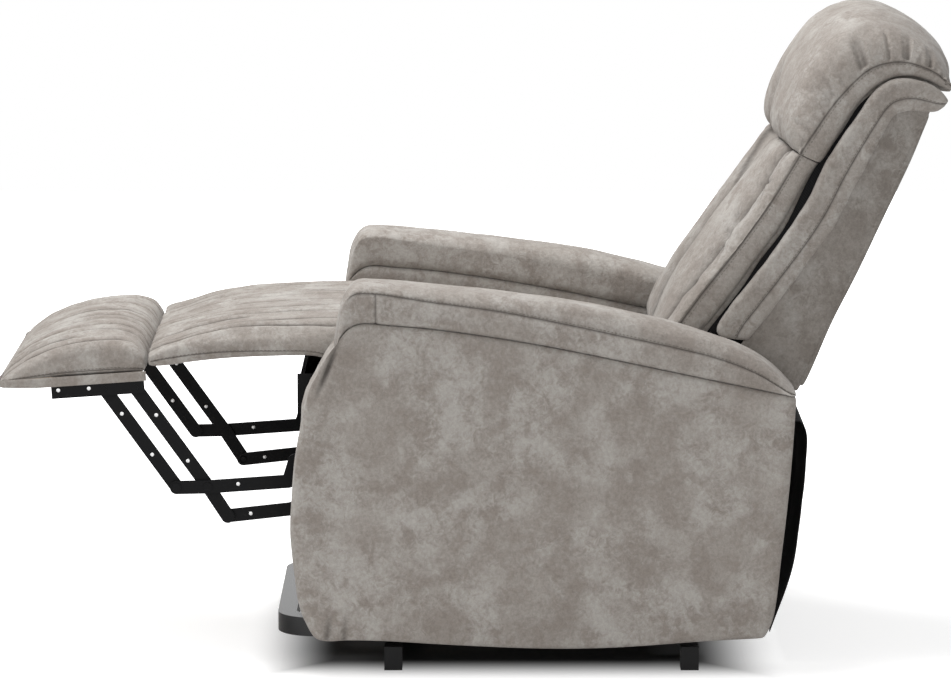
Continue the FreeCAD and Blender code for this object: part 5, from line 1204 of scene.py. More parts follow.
@dataclass
class SeatAndCalf:
    """One padded run from the back of the seat over its front edge to the calf rest."""

    depth: float = 62.0
    line: float = 12.0
    top: Sequence[Pair] = ((262, 462), (240, 479), (90, 508), (-60, 530), (-206, 540), (-284, 538),
                           (-340, 535), (-381, 533), (-430, 526), (-470, 517), (-502, 508), (-513, 499))
    under: Sequence[Pair] = ((262, 384), (252, 377), (90, 398), (-100, 422), (-190, 434), (-212, 448),
                             (-222, 476), (-236, 486), (-326, 487), (-400, 483), (-460, 476),
                             (-495, 470.5), (-514, 469.5))
    crown: float = 12.0

    def build(self) -> bpy.types.Object:
        """Make the pad, blow it up and gather its cloth."""
        upper, lower = Curve(self.top), Curve(self.under)
        plain = between(lower, upper, PAD_HALF, self.crown, power=4.0)

        def shape(across: Array, along: Array, through: Array) -> Array:
            seam = np.interp(along, (0.0, 0.68, 1.0), (0.12, 0.17, 0.5))
            return plain(across, along, bend_through(through, self.line / self.depth, seam))

        form = PadForm("seat_and_calf_pad", 2 * PAD_HALF, upper.length, self.depth, (17.0, 14.0, 6.0),
                       shape, far_radius=(17.0, 5.0, 17.0), spacing=5.0, along_spacing=24.0,
                       depth_spacing=12.0, seams_through=(self.line,))
        thing = form.build()
        pattern = read_pattern(thing)
        held = (pattern[:, 2] < PAD_GLUED).astype(float)
        held = np.maximum(held, hump(pattern[:, 1], upper.length, 10.0))
        inflate(thing, ClothSettings(7.0, wide=1.03), held)
        refine(thing, 2)
        self.gather(thing, upper.length)
        return thing

    def gather(self, thing: bpy.types.Object, length: float) -> None:
        """Creases along the top, deepest towards the calf, and the seam along the sides."""
        _, normals, pattern = surface(thing)
        upward = np.clip(normals[:, 2] * 1.4 - 0.3, 0.0, 1.0)
        front = smooth_step(pattern[:, 1], length - 330.0, length - 120.0)
        tuck = 1.0 + 0.5 * smooth_step(pattern[:, 1], length - 60.0, length)
        share = upward * (0.35 + 0.65 * front) * tuck
        Gathers(SEED, 250.0, count=17, depth=6.5, width=3.2).draw_in(thing, share, self.line, 2.0)

    def dress(self) -> None:
        """Finish the pad and its threads, and let them stand for the seat cushion and the calf pad."""
        thing = self.build()
        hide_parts("seat_cushion", "calf_pad")
        seams = side_seams(thing, PAD_HALF, self.line + SEAM_GAP)
        threads = Stitches("seat_and_calf_stitches", seams).build()
        for piece, finish in ((thing, SUEDE), (threads, THREAD)):
            paint(piece, finish)
            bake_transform(piece)
            LOG.info("%s: %d faces on chair and calf", piece.name, len(piece.data.polygons))


@dataclass
class FootrestPad:
    """Padded top of the footrest, measured along and above its brackets' line."""

    depth: float = 56.0
    line: float = 8.0
    pivot: Pair = (-534.0, 439.0)
    slope: float = 3.9
    top: Sequence[Pair] = ((18, 56), (15, 66), (4, 76), (-14, 81), (-42, 83), (-106, 79), (-150, 66),
                           (-180, 53), (-203, 39), (-212, 30))
    under: Sequence[Pair] = ((17, 24), (-60, 24), (-150, 24), (-196, 23.5), (-211, 24))
    crown: float = 12.0
    wrap_thick: float = 0.8
    wrap_top: float = 25.5
    wrap_path: Sequence[Pair] = ((270.5, 19), (270.5, -60), (270.5, -196), (267, -208), (256, -213.4),
                                 (180, -213.4), (0, -213.4), (-180, -213.4), (-256, -213.4), (-267, -208),
                                 (-270.5, -196), (-270.5, -60), (-270.5, 19))

    def place(self, point: Pair) -> Pair:
        """Side-view place of a point of the footrest."""
        angle = math.radians(self.slope)
        along, up = point
        return (self.pivot[0] + along * math.cos(angle) - up * math.sin(angle),
                self.pivot[1] + along * math.sin(angle) + up * math.cos(angle))

    def build(self) -> bpy.types.Object:
        """Make the pad, blow it up and gather its cloth."""
        upper = Curve([self.place(point) for point in self.top])
        lower = Curve([self.place(point) for point in self.under])
        form = PadForm("footrest_cushion", 2 * PAD_HALF, upper.length, self.depth, (17.0, 5.0, 3.0),
                       between(lower, upper, PAD_HALF, self.crown, power=4.0),
                       far_radius=(17.0, 10.0, 17.0), spacing=5.0, along_spacing=18.0, depth_spacing=12.0,
                       seams_through=(self.line,))
        thing = form.build()
        pattern = read_pattern(thing)
        held = (pattern[:, 2] < PAD_GLUED).astype(float)
        inflate(thing, ClothSettings(6.0, wide=1.03), held)
        refine(thing, 2)
        upward = np.clip(outward(thing)[:, 2] * 1.4 - 0.2, 0.0, 1.0)
        Gathers(SEED + 1, 250.0, count=18, depth=6.5, width=3.2).draw_in(thing, upward, self.line, 1.8)
        return thing

    def wrap(self) -> bpy.types.Object:
        """Cloth edge of the board under the pad, round its sides and its front."""
        path = Curve(self.wrap_path)

        def shape(across: Array, along: Array, through: Array) -> Array:
            place = path.at(along)
            step = path.heading(along, 0.004)
            x = place[:, 0] - step[:, 1] * self.wrap_thick / 2 * across
            u = place[:, 1] + step[:, 0] * self.wrap_thick / 2 * across
            low = np.interp(u, (-213.0, -150.0), (14.0, 10.0))
            up = low + (self.wrap_top - low) * through
            return np.column_stack([x, *self.place((u, up))])

        form = PadForm("footrest_board_cloth", self.wrap_thick, path.length, 14.0, (0.3, 0.3, 0.3), shape,
                       spacing=self.wrap_thick, along_spacing=9.0, depth_spacing=5.0)
        return form.build()

    def dress(self) -> None:
        """Finish the pad, its threads and the board's cloth edge."""
        thing = self.build()
        hand_over(thing, SUEDE, Slot.SUEDE, "footrest", "footrest_pad")
        Stitches("footrest_stitches", side_seams(thing, PAD_HALF, self.line + SEAM_GAP)).dress("footrest")
        edge = self.wrap()
        hand_over(edge, SUEDE, Slot.SUEDE, "footrest")


# Arms

@dataclass
class ArmLines:
    """Side-view lines that an arm's cover and pad share."""

    front: Sequence[Pair] = ((-236, 57), (-250, 61), (-256, 68), (-271, 103), (-281, 155), (-287, 213),
                             (-286, 277), (-283, 319), (-277, 359), (-271, 397), (-265, 438), (-248, 474),
                             (-231, 499), (-221, 510), (-216, 515))
    rear: Sequence[Pair] = ((449, 63), (462, 91), (476, 200), (486, 295), (492, 375), (496, 443))
    hem: Sequence[Pair] = ((-236, 57), (-203, 60), (-142, 59), (-40, 53), (100, 47), (178, 47), (256, 51),
                           (349, 58), (425, 62), (449, 63))
    seam: Sequence[Pair] = ((-216, 515), (-213, 524), (-206, 537), (-196, 549), (-178, 557), (-130, 554),
                            (-70, 549), (38, 534), (130, 518), (223, 499), (346, 473), (439, 454),
                            (496, 443))
    band: Sequence[Pair] = ((-217.5, 517), (-214.5, 530), (-211, 548), (-207, 568), (-201, 588),
                            (-190, 603), (-159, 605), (-70, 592), (38, 577), (130, 559), (223, 539),
                            (315, 519), (377, 503), (439, 478), (486, 449), (496, 445))
    crest: Sequence[Pair] = ((-219, 519), (-218, 532), (-215.5, 548), (-212, 570), (-206, 590),
                             (-197, 607), (-184, 616), (-160, 617), (-120, 614), (-71, 609), (38, 598),
                             (132, 586), (210, 573), (288, 554), (382, 527), (444, 497), (480, 466),
                             (496, 447))


@dataclass
class ArmCover:
    """Stretched cover of an arm: inner and outer panels and the rounded front between them."""

    side: Side
    inner_x: float = 274.6
    outer_x: float = 395.3
    pocket_low: ClassVar[Triple] = (-402.0, -67.4, 379.6)
    pocket_high: ClassVar[Triple] = (-360.0, -2.6, 524.4)
    lines: ArmLines = field(default_factory=ArmLines)

    def build(self) -> bpy.types.Object:
        """Make the closed cover with its soft edges and its pulls."""
        front, rear = Curve(self.lines.front), Curve(self.lines.rear)
        hem, seam = Curve(self.lines.hem), Curve(self.lines.seam)
        patch = coons(front, rear, hem, seam)
        width = self.outer_x - self.inner_x
        middle = self.side.value * (self.inner_x + self.outer_x) / 2

        def shape(across: Array, along: Array, through: Array) -> Array:
            return np.column_stack([middle + across * width / 2, patch(along, through)])

        form = PadForm(f"arm_cover_{self.side.word}", width, 700.0, 480.0, (15.0, 22.0, 4.0), shape,
                       far_radius=(15.0, 3.0, 1.2), spacing=8.0, along_spacing=9.0, depth_spacing=8.0)
        thing = form.build()
        refine(thing, 1)
        self.relax(thing)
        if self.side is Side.RIGHT:
            self.open_pocket(thing)
        return thing

    def relax(self, thing: bpy.types.Object) -> None:
        """Pull the panels in between their edges, crease the front and pleat its hem."""
        places, normals, pattern = surface(thing)
        noise = Noise(SEED + 7)
        y, z = places[:, 1], places[:, 2]
        flat = np.abs(normals[:, 0])
        outer = smooth_step(pattern[:, 0] * self.side.value, 0.0, 30.0)
        # broad slack of the panels, away from their edges
        soft = noise.layers(y / 190.0, z / 160.0, self.side.value + 2.0, 2)
        away = smooth_step(pattern[:, 1], 0.0, 90.0) * smooth_step(480.0 - pattern[:, 2], 2.0, 60.0)
        lift = 1.8 * soft * flat * away
        # two pleats over the front corner of the hem
        drift = noise.at(z / 40.0, 3.0, 1.0) * 3.0
        pleats = (3.2 * hump(y - drift, -232.0 + 0.12 * (z - 60), 5.0)
                  + 2.8 * hump(y + drift, -204.0 + 0.1 * (z - 60), 4.5))
        low = (1.0 - smooth_step(z, 70.0, 116.0)) * smooth_step(flat, 0.1, 0.6)
        lift = lift - pleats * low
        # crease that runs down behind the pad's nose, with the cloth puffed out below it
        run = (z - 485.0) - 2.3 * (y + 229.0)
        crease = 8.0 * hump(run, 0.0, 10.0) * hump(y, -228.0, 13.0) * outer
        puff = 2.0 * hump(run, -30.0, 18.0) * hump(y, -226.0, 18.0) * outer
        slack = 2.0 * noise.layers((z + 0.4 * y) / 34.0, pattern[:, 0] / 60.0, 2.0, 2) * hump(y, -262.0, 26.0)
        upper_front = slack * smooth_step(z, 330.0, 430.0) * (1.0 - smooth_step(z, 500.0, 524.0))
        lift = lift - crease + puff + upper_front
        gathers = noise.at(pattern[:, 0] / 16.0, z / 60.0) * 1.5 * np.clip(-normals[:, 1], 0.0, 1.0)
        places = places + normals * (lift + gathers)[:, None]
        move_corners(thing, places)
        # painted shade in the pleats of the hem and in the crease behind the pad's nose
        keep_painted_shade(thing, 0.17 * pleats * low, 0.11 * crease)

    @staticmethod
    def open_pocket(thing: bpy.types.Object) -> None:
        """Cut the opening for the handset's recess through the outer panel."""
        ends = (ArmCover.pocket_low, ArmCover.pocket_high)
        corners = np.array([[ends[(number >> axis) & 1][axis] for axis in range(3)] for number in range(8)])
        faces = np.array([(0, 2, 3, 1), (4, 5, 7, 6), (0, 1, 5, 4), (2, 6, 7, 3), (0, 4, 6, 2), (1, 3, 7, 5)])
        block = mesh_object("pocket_block", corners, faces)
        cutter = thing.modifiers.new("pocket", "BOOLEAN")
        cutter.operation = "DIFFERENCE"
        cutter.solver = "EXACT"
        cutter.object = block
        settle(thing)
        bpy.data.objects.remove(block)

    def dress(self) -> None:
        """Finish the cover and let it stand for the arm's boards."""
        thing = self.build()
        word = self.side.word
        hand_over(thing, SUEDE, Slot.SUEDE, "chair", f"arm_inner_board_{word}", f"arm_outer_board_{word}")


@dataclass
class ArmPad:
    """Padded top of an arm, with a band between two seams along its outer side."""

    side: Side
    inner_x: float = 273.6
    outer_x: float = 395.4
    depth: float = 64.0
    line: float = 40.0
    post_y: float = -154.0
    lines: ArmLines = field(default_factory=ArmLines)

    def build(self) -> bpy.types.Object:
        """Make the pad with its rolled outer edge and its seams."""
        lower, middle_line, upper = Curve(self.lines.seam), Curve(self.lines.band), Curve(self.lines.crest)
        width = self.outer_x - self.inner_x
        shares = np.linspace(0.1, 0.5, 200)
        post = float(np.interp(self.post_y, middle_line.at(shares)[:, 0], shares)) * upper.length

        def shape(across: Array, along: Array, through: Array) -> Array:
            band, high = middle_line.at(along), upper.at(along)
            seam_z = np.interp(band[:, 0], lower.samples[:, 0], lower.samples[:, 1])
            low = np.column_stack([band[:, 0], seam_z])
            share = self.line / self.depth
            first = np.clip(through / share, 0.0, 1.0)
            second = np.clip((through - share) / (1.0 - share), 0.0, 1.0)
            outwards = across * self.side.value
            sink = np.where(outwards > 0, 0.35 * outwards ** 4, 0.3 * outwards ** 4)
            place = low + (band - low) * first[:, None] + (high - band) * (second * (1.0 - sink))[:, None]
            outer = self.outer_x - 8.0 * first ** 2
            inner = self.inner_x + 3.0 * first ** 2
            x = inner + (outer - inner) * (outwards + 1.0) / 2.0
            return np.column_stack([self.side.value * x, place])

        form = PadForm(f"arm_pad_{self.side.word}_cover", width, upper.length, self.depth, (24.0, 12.0, 2.0),
                       shape, far_radius=(24.0, 12.0, 24.0), spacing=7.0, along_spacing=9.0,
                       depth_spacing=7.0, seams_through=(self.line,), seams_along=(post,))
        thing = form.build()
        pattern = read_pattern(thing)
        held = (pattern[:, 2] < 44.0).astype(float)
        inflate(thing, ClothSettings(4.0, pressure=1.4, long=1.01), held)
        refine(thing, 1)
        self.sew(thing, post)
        return thing

    def sew(self, thing: bpy.types.Object, post: float) -> None:
        """Press the seams in and let the cloth ripple between them."""
        places, normals, pattern = surface(thing)
        outside = pattern[:, 0] * self.side.value > 30.0
        noise = Noise(SEED + 11 + self.side.value)
        # broad ripples, small puckers beside the seam and gathers over the nose
        ripples = noise.layers(pattern[:, 1] / 60.0, pattern[:, 0] / 40.0, pattern[:, 2] / 50.0, 2)
        beside = hump(pattern[:, 2], self.line + 8.0, 9.0)
        pucker = noise.at(pattern[:, 1] / 13.0, 0.0, 2.0) * beside * outside
        ahead = 1.0 - smooth_step(pattern[:, 1], 60.0, 120.0)
        nose = noise.layers(pattern[:, 0] / 18.0, pattern[:, 1] / 50.0, 3.0, 2) * ahead
        clear = smooth_step(pattern[:, 2], 4.0, 14.0)
        places = places + normals * ((1.0 * ripples + 0.7 * pucker + 1.4 * nose) * clear)[:, None]
        fade = smooth_step(places[:, 1], -200.0, -188.0)
        line = off_seam(pattern, self.line, outside)
        sink = 1.8 * (np.exp(-((line / 2.0) ** 2)) + 0.4 * np.exp(-((line / 8.0) ** 2))) * fade
        post_line = np.where(outside & (pattern[:, 2] < self.line), np.abs(pattern[:, 1] - post), FAR)
        sink = sink + 1.3 * np.exp(-((post_line / 2.0) ** 2))
        move_corners(thing, places - normals * sink[:, None])
        # painted shade along the side seam and the short seam at the post
        keep_painted_shade(thing, seam_shade(line) * fade, 0.8 * seam_shade(post_line))

    def dress(self) -> None:
        """Finish the pad and its threads."""
        thing = self.build()
        hand_over(thing, SUEDE, Slot.SUEDE, "chair", f"arm_pad_{self.side.word}")
        pattern = read_pattern(thing)
        outside = (pattern[:, 0] * self.side.value > 58.0) & (corner_places(thing)[:, 1] > -186.0)
        chosen = outside & (np.abs(pattern[:, 2] - self.line - SEAM_GAP) < ON_LINE)
        Stitches(f"arm_stitches_{self.side.word}", [seam_places(thing, chosen)]).dress("chair")


@dataclass
class ArmFronts:
    """Padding under the cover of both arm fronts, in place of their curved boards."""

    inner_x: float = 290.0
    outer_x: float = 377.0
    depth: float = 11.0
    behind: float = 8.0
    lines: ArmLines = field(default_factory=ArmLines)

    def dress(self) -> None:
        """Make the padding of both fronts, in suede of painted shade, and let it stand for the curved boards.
        """
        front = Curve(self.lines.front[2:-4])
        for side in Side:
            middle = side.value * (self.inner_x + self.outer_x) / 2
            half = (self.outer_x - self.inner_x) / 2

            def shape(across: Array, along: Array, through: Array) -> Array:
                place = front.at(along)
                y = place[:, 0] + self.behind + self.depth * (1.0 - through)
                return np.column_stack([middle + across * half, y, place[:, 1]])

            form = PadForm(f"arm_front_lining_{side.word}", 2 * half, front.length, self.depth,
                           (3.0, 3.0, 3.0), shape, spacing=14.0, depth_spacing=4.0)
            thing = form.build()
            # painted shade: the darker copy of the suede
            hand_over(thing, SUEDE_PAINTED_SHADE, Slot.SUEDE, "chair", *side.stands_for("arm_front_boards"))


# Back

def back_places(along: Array, front: Array) -> Array:
    """Side-view places of points of the back, one row each."""
    return np.column_stack(BACK.place(along, front))


@dataclass
class RolledPad:
    """Pad of the back whose face rolls over into a side band, with a seam between them.

    The four side-view lines are measured along and in front of the back's line: the crest
    of the face, the seam of its side, the rear edge of the side band and the underside.
    """

    name: str
    crest: Sequence[Pair]
    seam: Sequence[Pair]
    edge: Sequence[Pair]
    under: Sequence[Pair]
    dip: Callable[[Array, Array], Array]
    seam_x: float = 252.0
    edge_x: float = 256.0
    tucked_x: float = 237.0
    flat: float = 196.0
    roll: float = 86.0
    depth: float = 70.0
    line: float = 64.0
    creases: Sequence[float] = ()

    @property
    def half_pattern(self) -> float:
        """Half the width of the face before it is rolled."""
        return self.flat + self.roll

    def build(self) -> bpy.types.Object:
        """Make the pad's mesh before it is blown up."""
        crest, seam, edge, under = (Curve(line) for line in (self.crest, self.seam, self.edge, self.under))
        share, rim = self.line / self.depth, 0.68

        def shape(across: Array, along: Array, through: Array) -> Array:
            part = np.abs(across) * self.half_pattern
            turn = np.clip((part - self.flat) / self.roll, 0.0, 1.0) * math.pi / 2
            low = under.at(along)
            out = crest.at(along) - low
            out /= np.maximum(np.linalg.norm(out, axis=1, keepdims=True), TINY)
            corner = seam.at(along) + out * 4.0
            top = crest.at(along) * np.cos(turn)[:, None] + corner * (1.0 - np.cos(turn))[:, None]
            x_top = np.where(part < self.flat, part, self.flat + (self.seam_x - self.flat) * np.sin(turn))
            ahead = self.dip(x_top, top[:, 0]) * np.cos(turn) ** 0.5
            top = top - out * ahead[:, None]
            side = np.clip((np.abs(across) - 0.9) / 0.1, 0.0, 1.0)[:, None]
            steps = ((1.0, top),
                     (share, seam.at(along) * side + (0.94 * top + 0.06 * low) * (1 - side)),
                     (rim, edge.at(along) * side + (0.55 * top + 0.45 * low) * (1 - side)),
                     (rim - 0.06, (edge.at(along) * 0.93 + low * 0.07) * side
                      + (0.5 * top + 0.5 * low) * (1 - side)),
                     (0.0, low))
            edge_x = x_top * (1.0 + (self.edge_x / self.seam_x - 1.0) * side[:, 0])
            tucked_x = part * self.tucked_x / self.half_pattern
            widths = (x_top, x_top, edge_x, tucked_x, tucked_x)
            place, x = top.copy(), x_top.copy()
            for (high_at, high), (low_at, lower), high_x, low_x in zip(steps, steps[1:], widths, widths[1:]):
                inside = (through <= high_at) & (through >= low_at)
                rise = np.clip((through - low_at) / (high_at - low_at), 0.0, 1.0)
                place[inside] = (lower + (high - lower) * rise[:, None])[inside]
                x[inside] = (low_x + (high_x - low_x) * rise)[inside]
            return np.column_stack([np.sign(across) * x, back_places(place[:, 0], place[:, 1])])

        form = PadForm(self.name, 2 * self.half_pattern, crest.length, self.depth, (1.5, 3.0, 6.0), shape,
                       far_radius=(1.5, 3.0, 1.5), spacing=7.0, along_spacing=7.0, depth_spacing=6.0,
                       seams_through=(self.line,), seams_across=[self.half_pattern + x for x in self.creases])
        return form.build()

    def held(self, pattern: Array) -> Array:
        """1 where the cloth is held, below the seam of the side, and 0 on the face."""
        return (pattern[:, 2] < self.line + 2.0).astype(float)

    def facing(self, pattern: Array) -> Array:
        """0 at the seam of the side, rising to 1 on the face."""
        return smooth_step(pattern[:, 2], self.line, self.depth - 2.0)

    def side_seam(self, pattern: Array) -> Array:
        """Distance of each vertex from the seam of the side."""
        return off_seam(pattern, self.line, np.abs(pattern[:, 0]) > self.half_pattern - 1.0)

    def threads(self, thing: bpy.types.Object) -> list[Array]:
        """Lines of stitches beside the seam of each side."""
        return side_seams(thing, self.half_pattern, self.line - SEAM_GAP)


@dataclass
class BackCushion:
    """Back cushion: two tall lobes that part in a V under the pillow, and a lower bolster at each side."""

    crest: Sequence[Pair] = ((30, 14), (42, 36), (62, 47), (90, 52), (130, 53), (158, 51), (200, 44),
                             (240, 37), (325, 21), (380, 9), (412, 2), (426, -6))
    seam: Sequence[Pair] = ((30, 8), (42, 20), (60, 27), (90, 28), (147, 19), (246, -4), (339, -22),
                            (389, -28), (426, -32))
    edge: Sequence[Pair] = ((30, -2), (80, -3), (115, -8), (125, -12), (198, -29), (247, -38), (308, -50),
                            (360, -54), (408, -57), (426, -62))
    under: Sequence[Pair] = ((30, -11.5), (120, -29), (220, -48.5), (320, -68), (424, -88.3))

    @staticmethod
    def spread(along: Array) -> Array:
        """Half the width of the V between the lobes."""
        return 78.0 * smooth_step(along, 270.0, 470.0) ** 0.8

    @staticmethod
    def dip(x: Array, along: Array) -> Array:
        """How far the face lies behind its crest."""
        drop = np.interp(along, (60.0, 94.0, 161.0, 223.0, 263.0, 348.0, 398.0, 424.0),
                         (2.0, 4.0, 15.0, 20.0, 22.0, 20.0, 12.0, 9.0))
        bolster = drop * smooth_step(x, 90.0, 194.0)
        valley = 15.0 * np.exp(-np.abs(x - 194.0) / 11.0) * smooth_step(along, 50.0, 110.0)
        inner = np.interp(along, (60.0, 203.0, 254.0, 308.0, 376.0, 426.0), (4.0, 9.0, 11.0, 12.0, 6.0, 3.0))
        groove = inner * np.exp(-x / 15.0) + 0.35 * inner * (1.0 - smooth_step(x, 0.0, 75.0))
        spread = BackCushion.spread(along)
        wedge = 9.0 * smooth_step(along, 280.0, 330.0) * (1.0 - smooth_step(x, spread - 4.0, spread + 4.0))
        return bolster + valley + groove + wedge

    def form(self) -> RolledPad:
        """The cushion's rolled pad."""
        return RolledPad("back_cushion_cover", self.crest, self.seam, self.edge, self.under, self.dip,
                         creases=(-194.0, 0.0, 194.0))

    def dress(self) -> None:
        """Make, blow up, pucker and finish the cushion."""
        form = self.form()
        thing = form.build()
        pattern = read_pattern(thing)
        part = np.abs(pattern[:, 0])
        held = np.maximum(form.held(pattern), 0.9 * hump(part, 193.0, 6.0))
        held = np.maximum(held, 0.9 * hump(part, 0.0, 6.0))
        inflate(thing, ClothSettings(6.0, long=1.02), held)
        refine(thing, 1)
        self.pucker(thing, form)
        hand_over(thing, SUEDE, Slot.SUEDE, "back", "back_cushion")
        Stitches("cushion_stitches", form.threads(thing)).dress("back")

    @staticmethod
    def pucker(thing: bpy.types.Object, form: RolledPad) -> None:
        """Gathers beside the valleys and the groove, and the seam along each side."""
        places, normals, pattern = surface(thing)
        noise = Noise(SEED + 21)
        along, side = pattern[:, 1], np.sign(pattern[:, 0])
        part = np.abs(pattern[:, 0])
        facing = form.facing(pattern)
        # gathers on both sides of each valley
        beside = hump(part, 214.0, 20.0) + 0.7 * hump(part, 172.0, 15.0)
        veins = np.abs(noise.at(along / 19.0 + 0.05 * part, side + 2.0, 1.0))
        rows = np.clip(1.0 - 2.6 * veins, 0.0, 1.0) ** 2
        gathers = noise.layers(along / 22.0, part / 60.0, side + 2.0, 2)
        lift = (2.2 * gathers - 2.4 * rows) * beside
        # one deep pull across each bolster
        pull = np.abs(along - 352.0 - 0.35 * (part - 214.0))
        lift = lift - 5.0 * np.exp(-((pull / 5.0) ** 2)) * hump(part, 214.0, 20.0)
        # gathers at the middle groove, broad slack and puckers along the side
        centre = noise.layers(along / 17.0, part / 50.0, side + 6.0, 2) * hump(part, 16.0, 16.0)
        broad = noise.layers(pattern[:, 0] / 70.0, along / 90.0, 5.0, 2)
        hem = noise.at(along / 9.0, side + 3.0, 4.0) * hump(part, form.half_pattern - 10.0, 14.0)
        places = places + normals * ((lift + 1.3 * centre + 1.7 * broad + 0.8 * hem) * facing)[:, None]
        line = form.side_seam(pattern)
        move_corners(thing, press_seam(places, normals, line))
        # painted shade at the bottom of the valleys, the groove, the V's rims and the pull
        height = along + 14.0
        opened = smooth_step(height, 300.0, 330.0)
        valley = 0.8 * np.exp(-np.abs(part - 191.0) / 12.0)
        groove = 0.85 * np.exp(-part / 22.0) * (1.0 - 0.5 * opened)
        rims = 0.7 * opened * np.exp(-np.abs(part - BackCushion.spread(height)) / 8.0)
        short = 0.5 * rows * beside + 0.8 * np.exp(-((pull / 3.5) ** 2)) * hump(part, 214.0, 18.0)
        deepest = np.maximum(np.maximum(valley, groove), np.maximum(rims, short))
        keep_painted_shade(thing, deepest * facing, seam_shade(line))


@dataclass
class HeadPillow:
    """Head pillow that rolls over the top of the back, with two lobes at its lower edge."""

    crest: Sequence[Pair] = ((427, -4), (433, 8), (450, 18), (482, 25), (520, 27), (554, 24), (590, 17),
                             (625, 5), (650, -12), (667, -36), (679, -72), (681, -110), (675, -150),
                             (661, -180), (642, -203), (632, -208))
    seam: Sequence[Pair] = ((427, -31), (434, -31), (479, -38), (510, -43), (559, -57), (595, -74),
                            (618, -101), (628, -127), (631, -161), (628, -182), (622, -203))
    edge: Sequence[Pair] = ((427, -63), (437, -66), (482, -71), (537, -79), (574, -95), (596, -113),
                            (609, -136), (614, -165), (613, -191), (616, -205))
    under: Sequence[Pair] = ((428, -89), (470, -97), (520, -100), (560, -99), (578, -107), (592, -121),
                             (604, -144), (608, -168), (607, -190), (612, -204))

    @staticmethod
    def dip(x: Array, along: Array) -> Array:
        """How far the face lies behind its crest."""
        low = 1.0 - smooth_step(along, 470.0, 560.0)
        crease = 17.0 * np.clip(1.0 - x / 66.0, 0.0, 1.0) ** 2.0 * low
        ends = 15.0 * smooth_step(x, 70.0, 215.0)
        return crease + ends

    def dress(self) -> None:
        """Make, blow up, gather and finish the pillow."""
        form = RolledPad("head_pillow_cover", self.crest, self.seam, self.edge, self.under, self.dip,
                         seam_x=258.0, edge_x=262.0, tucked_x=240.0, roll=96.0, creases=(0.0,))
        thing = form.build()
        inflate(thing, ClothSettings(5.0, long=1.02), form.held(read_pattern(thing)))
        refine(thing, 1)
        self.gather(thing, form)
        hand_over(thing, SUEDE, Slot.SUEDE, "back", "head_pillow")
        Stitches("pillow_stitches", form.threads(thing)).dress("back")

    @staticmethod
    def gather(thing: bpy.types.Object, form: RolledPad) -> None:
        """Short gathers and a few longer pleats that run from the side seams into the face."""
        places, normals, pattern = surface(thing)
        noise = Noise(SEED + 31)
        along, side = pattern[:, 1], np.sign(pattern[:, 0])
        part = np.abs(pattern[:, 0])
        facing = form.facing(pattern)
        inward = form.half_pattern - part
        fine = noise.at(along / 10.0, side + 4.0, inward / 60.0) * np.exp(-inward / 26.0)
        veins = np.abs(noise.at(along / 24.0, side + 8.0, inward / 150.0))
        pleats = np.clip(1.0 - 2.4 * veins, 0.0, 1.0) ** 2
        pleats = pleats * smooth_step(inward, 0.0, 8.0) * (1.0 - smooth_step(inward, 30.0, 90.0))
        pleats = pleats * (0.5 + 0.9 * smooth_step(along, 150.0, 260.0))
        broad = noise.layers(pattern[:, 0] / 90.0, along / 60.0, 1.0, 2)
        foot = 1.0 - smooth_step(along, 30.0, 90.0)
        lower = noise.layers(pattern[:, 0] / 26.0, along / 60.0, 9.0, 2) * foot
        lift = 2.2 * fine - 5.0 * pleats + 1.6 * broad + 1.8 * lower * smooth_step(along, 2.0, 16.0)
        places = places + normals * (lift * facing)[:, None]
        line = form.side_seam(pattern)
        move_corners(thing, press_seam(places, normals, line))
        # painted shade in the crease between the lower lobes and in the pleats
        crease = 0.75 * np.exp(-part / 14.0) * (1.0 - smooth_step(along, 60.0, 130.0))
        pleat_shade = 0.55 * pleats * np.exp(-inward / 40.0)
        keep_painted_shade(thing, np.maximum(crease, pleat_shade) * facing, seam_shade(line))


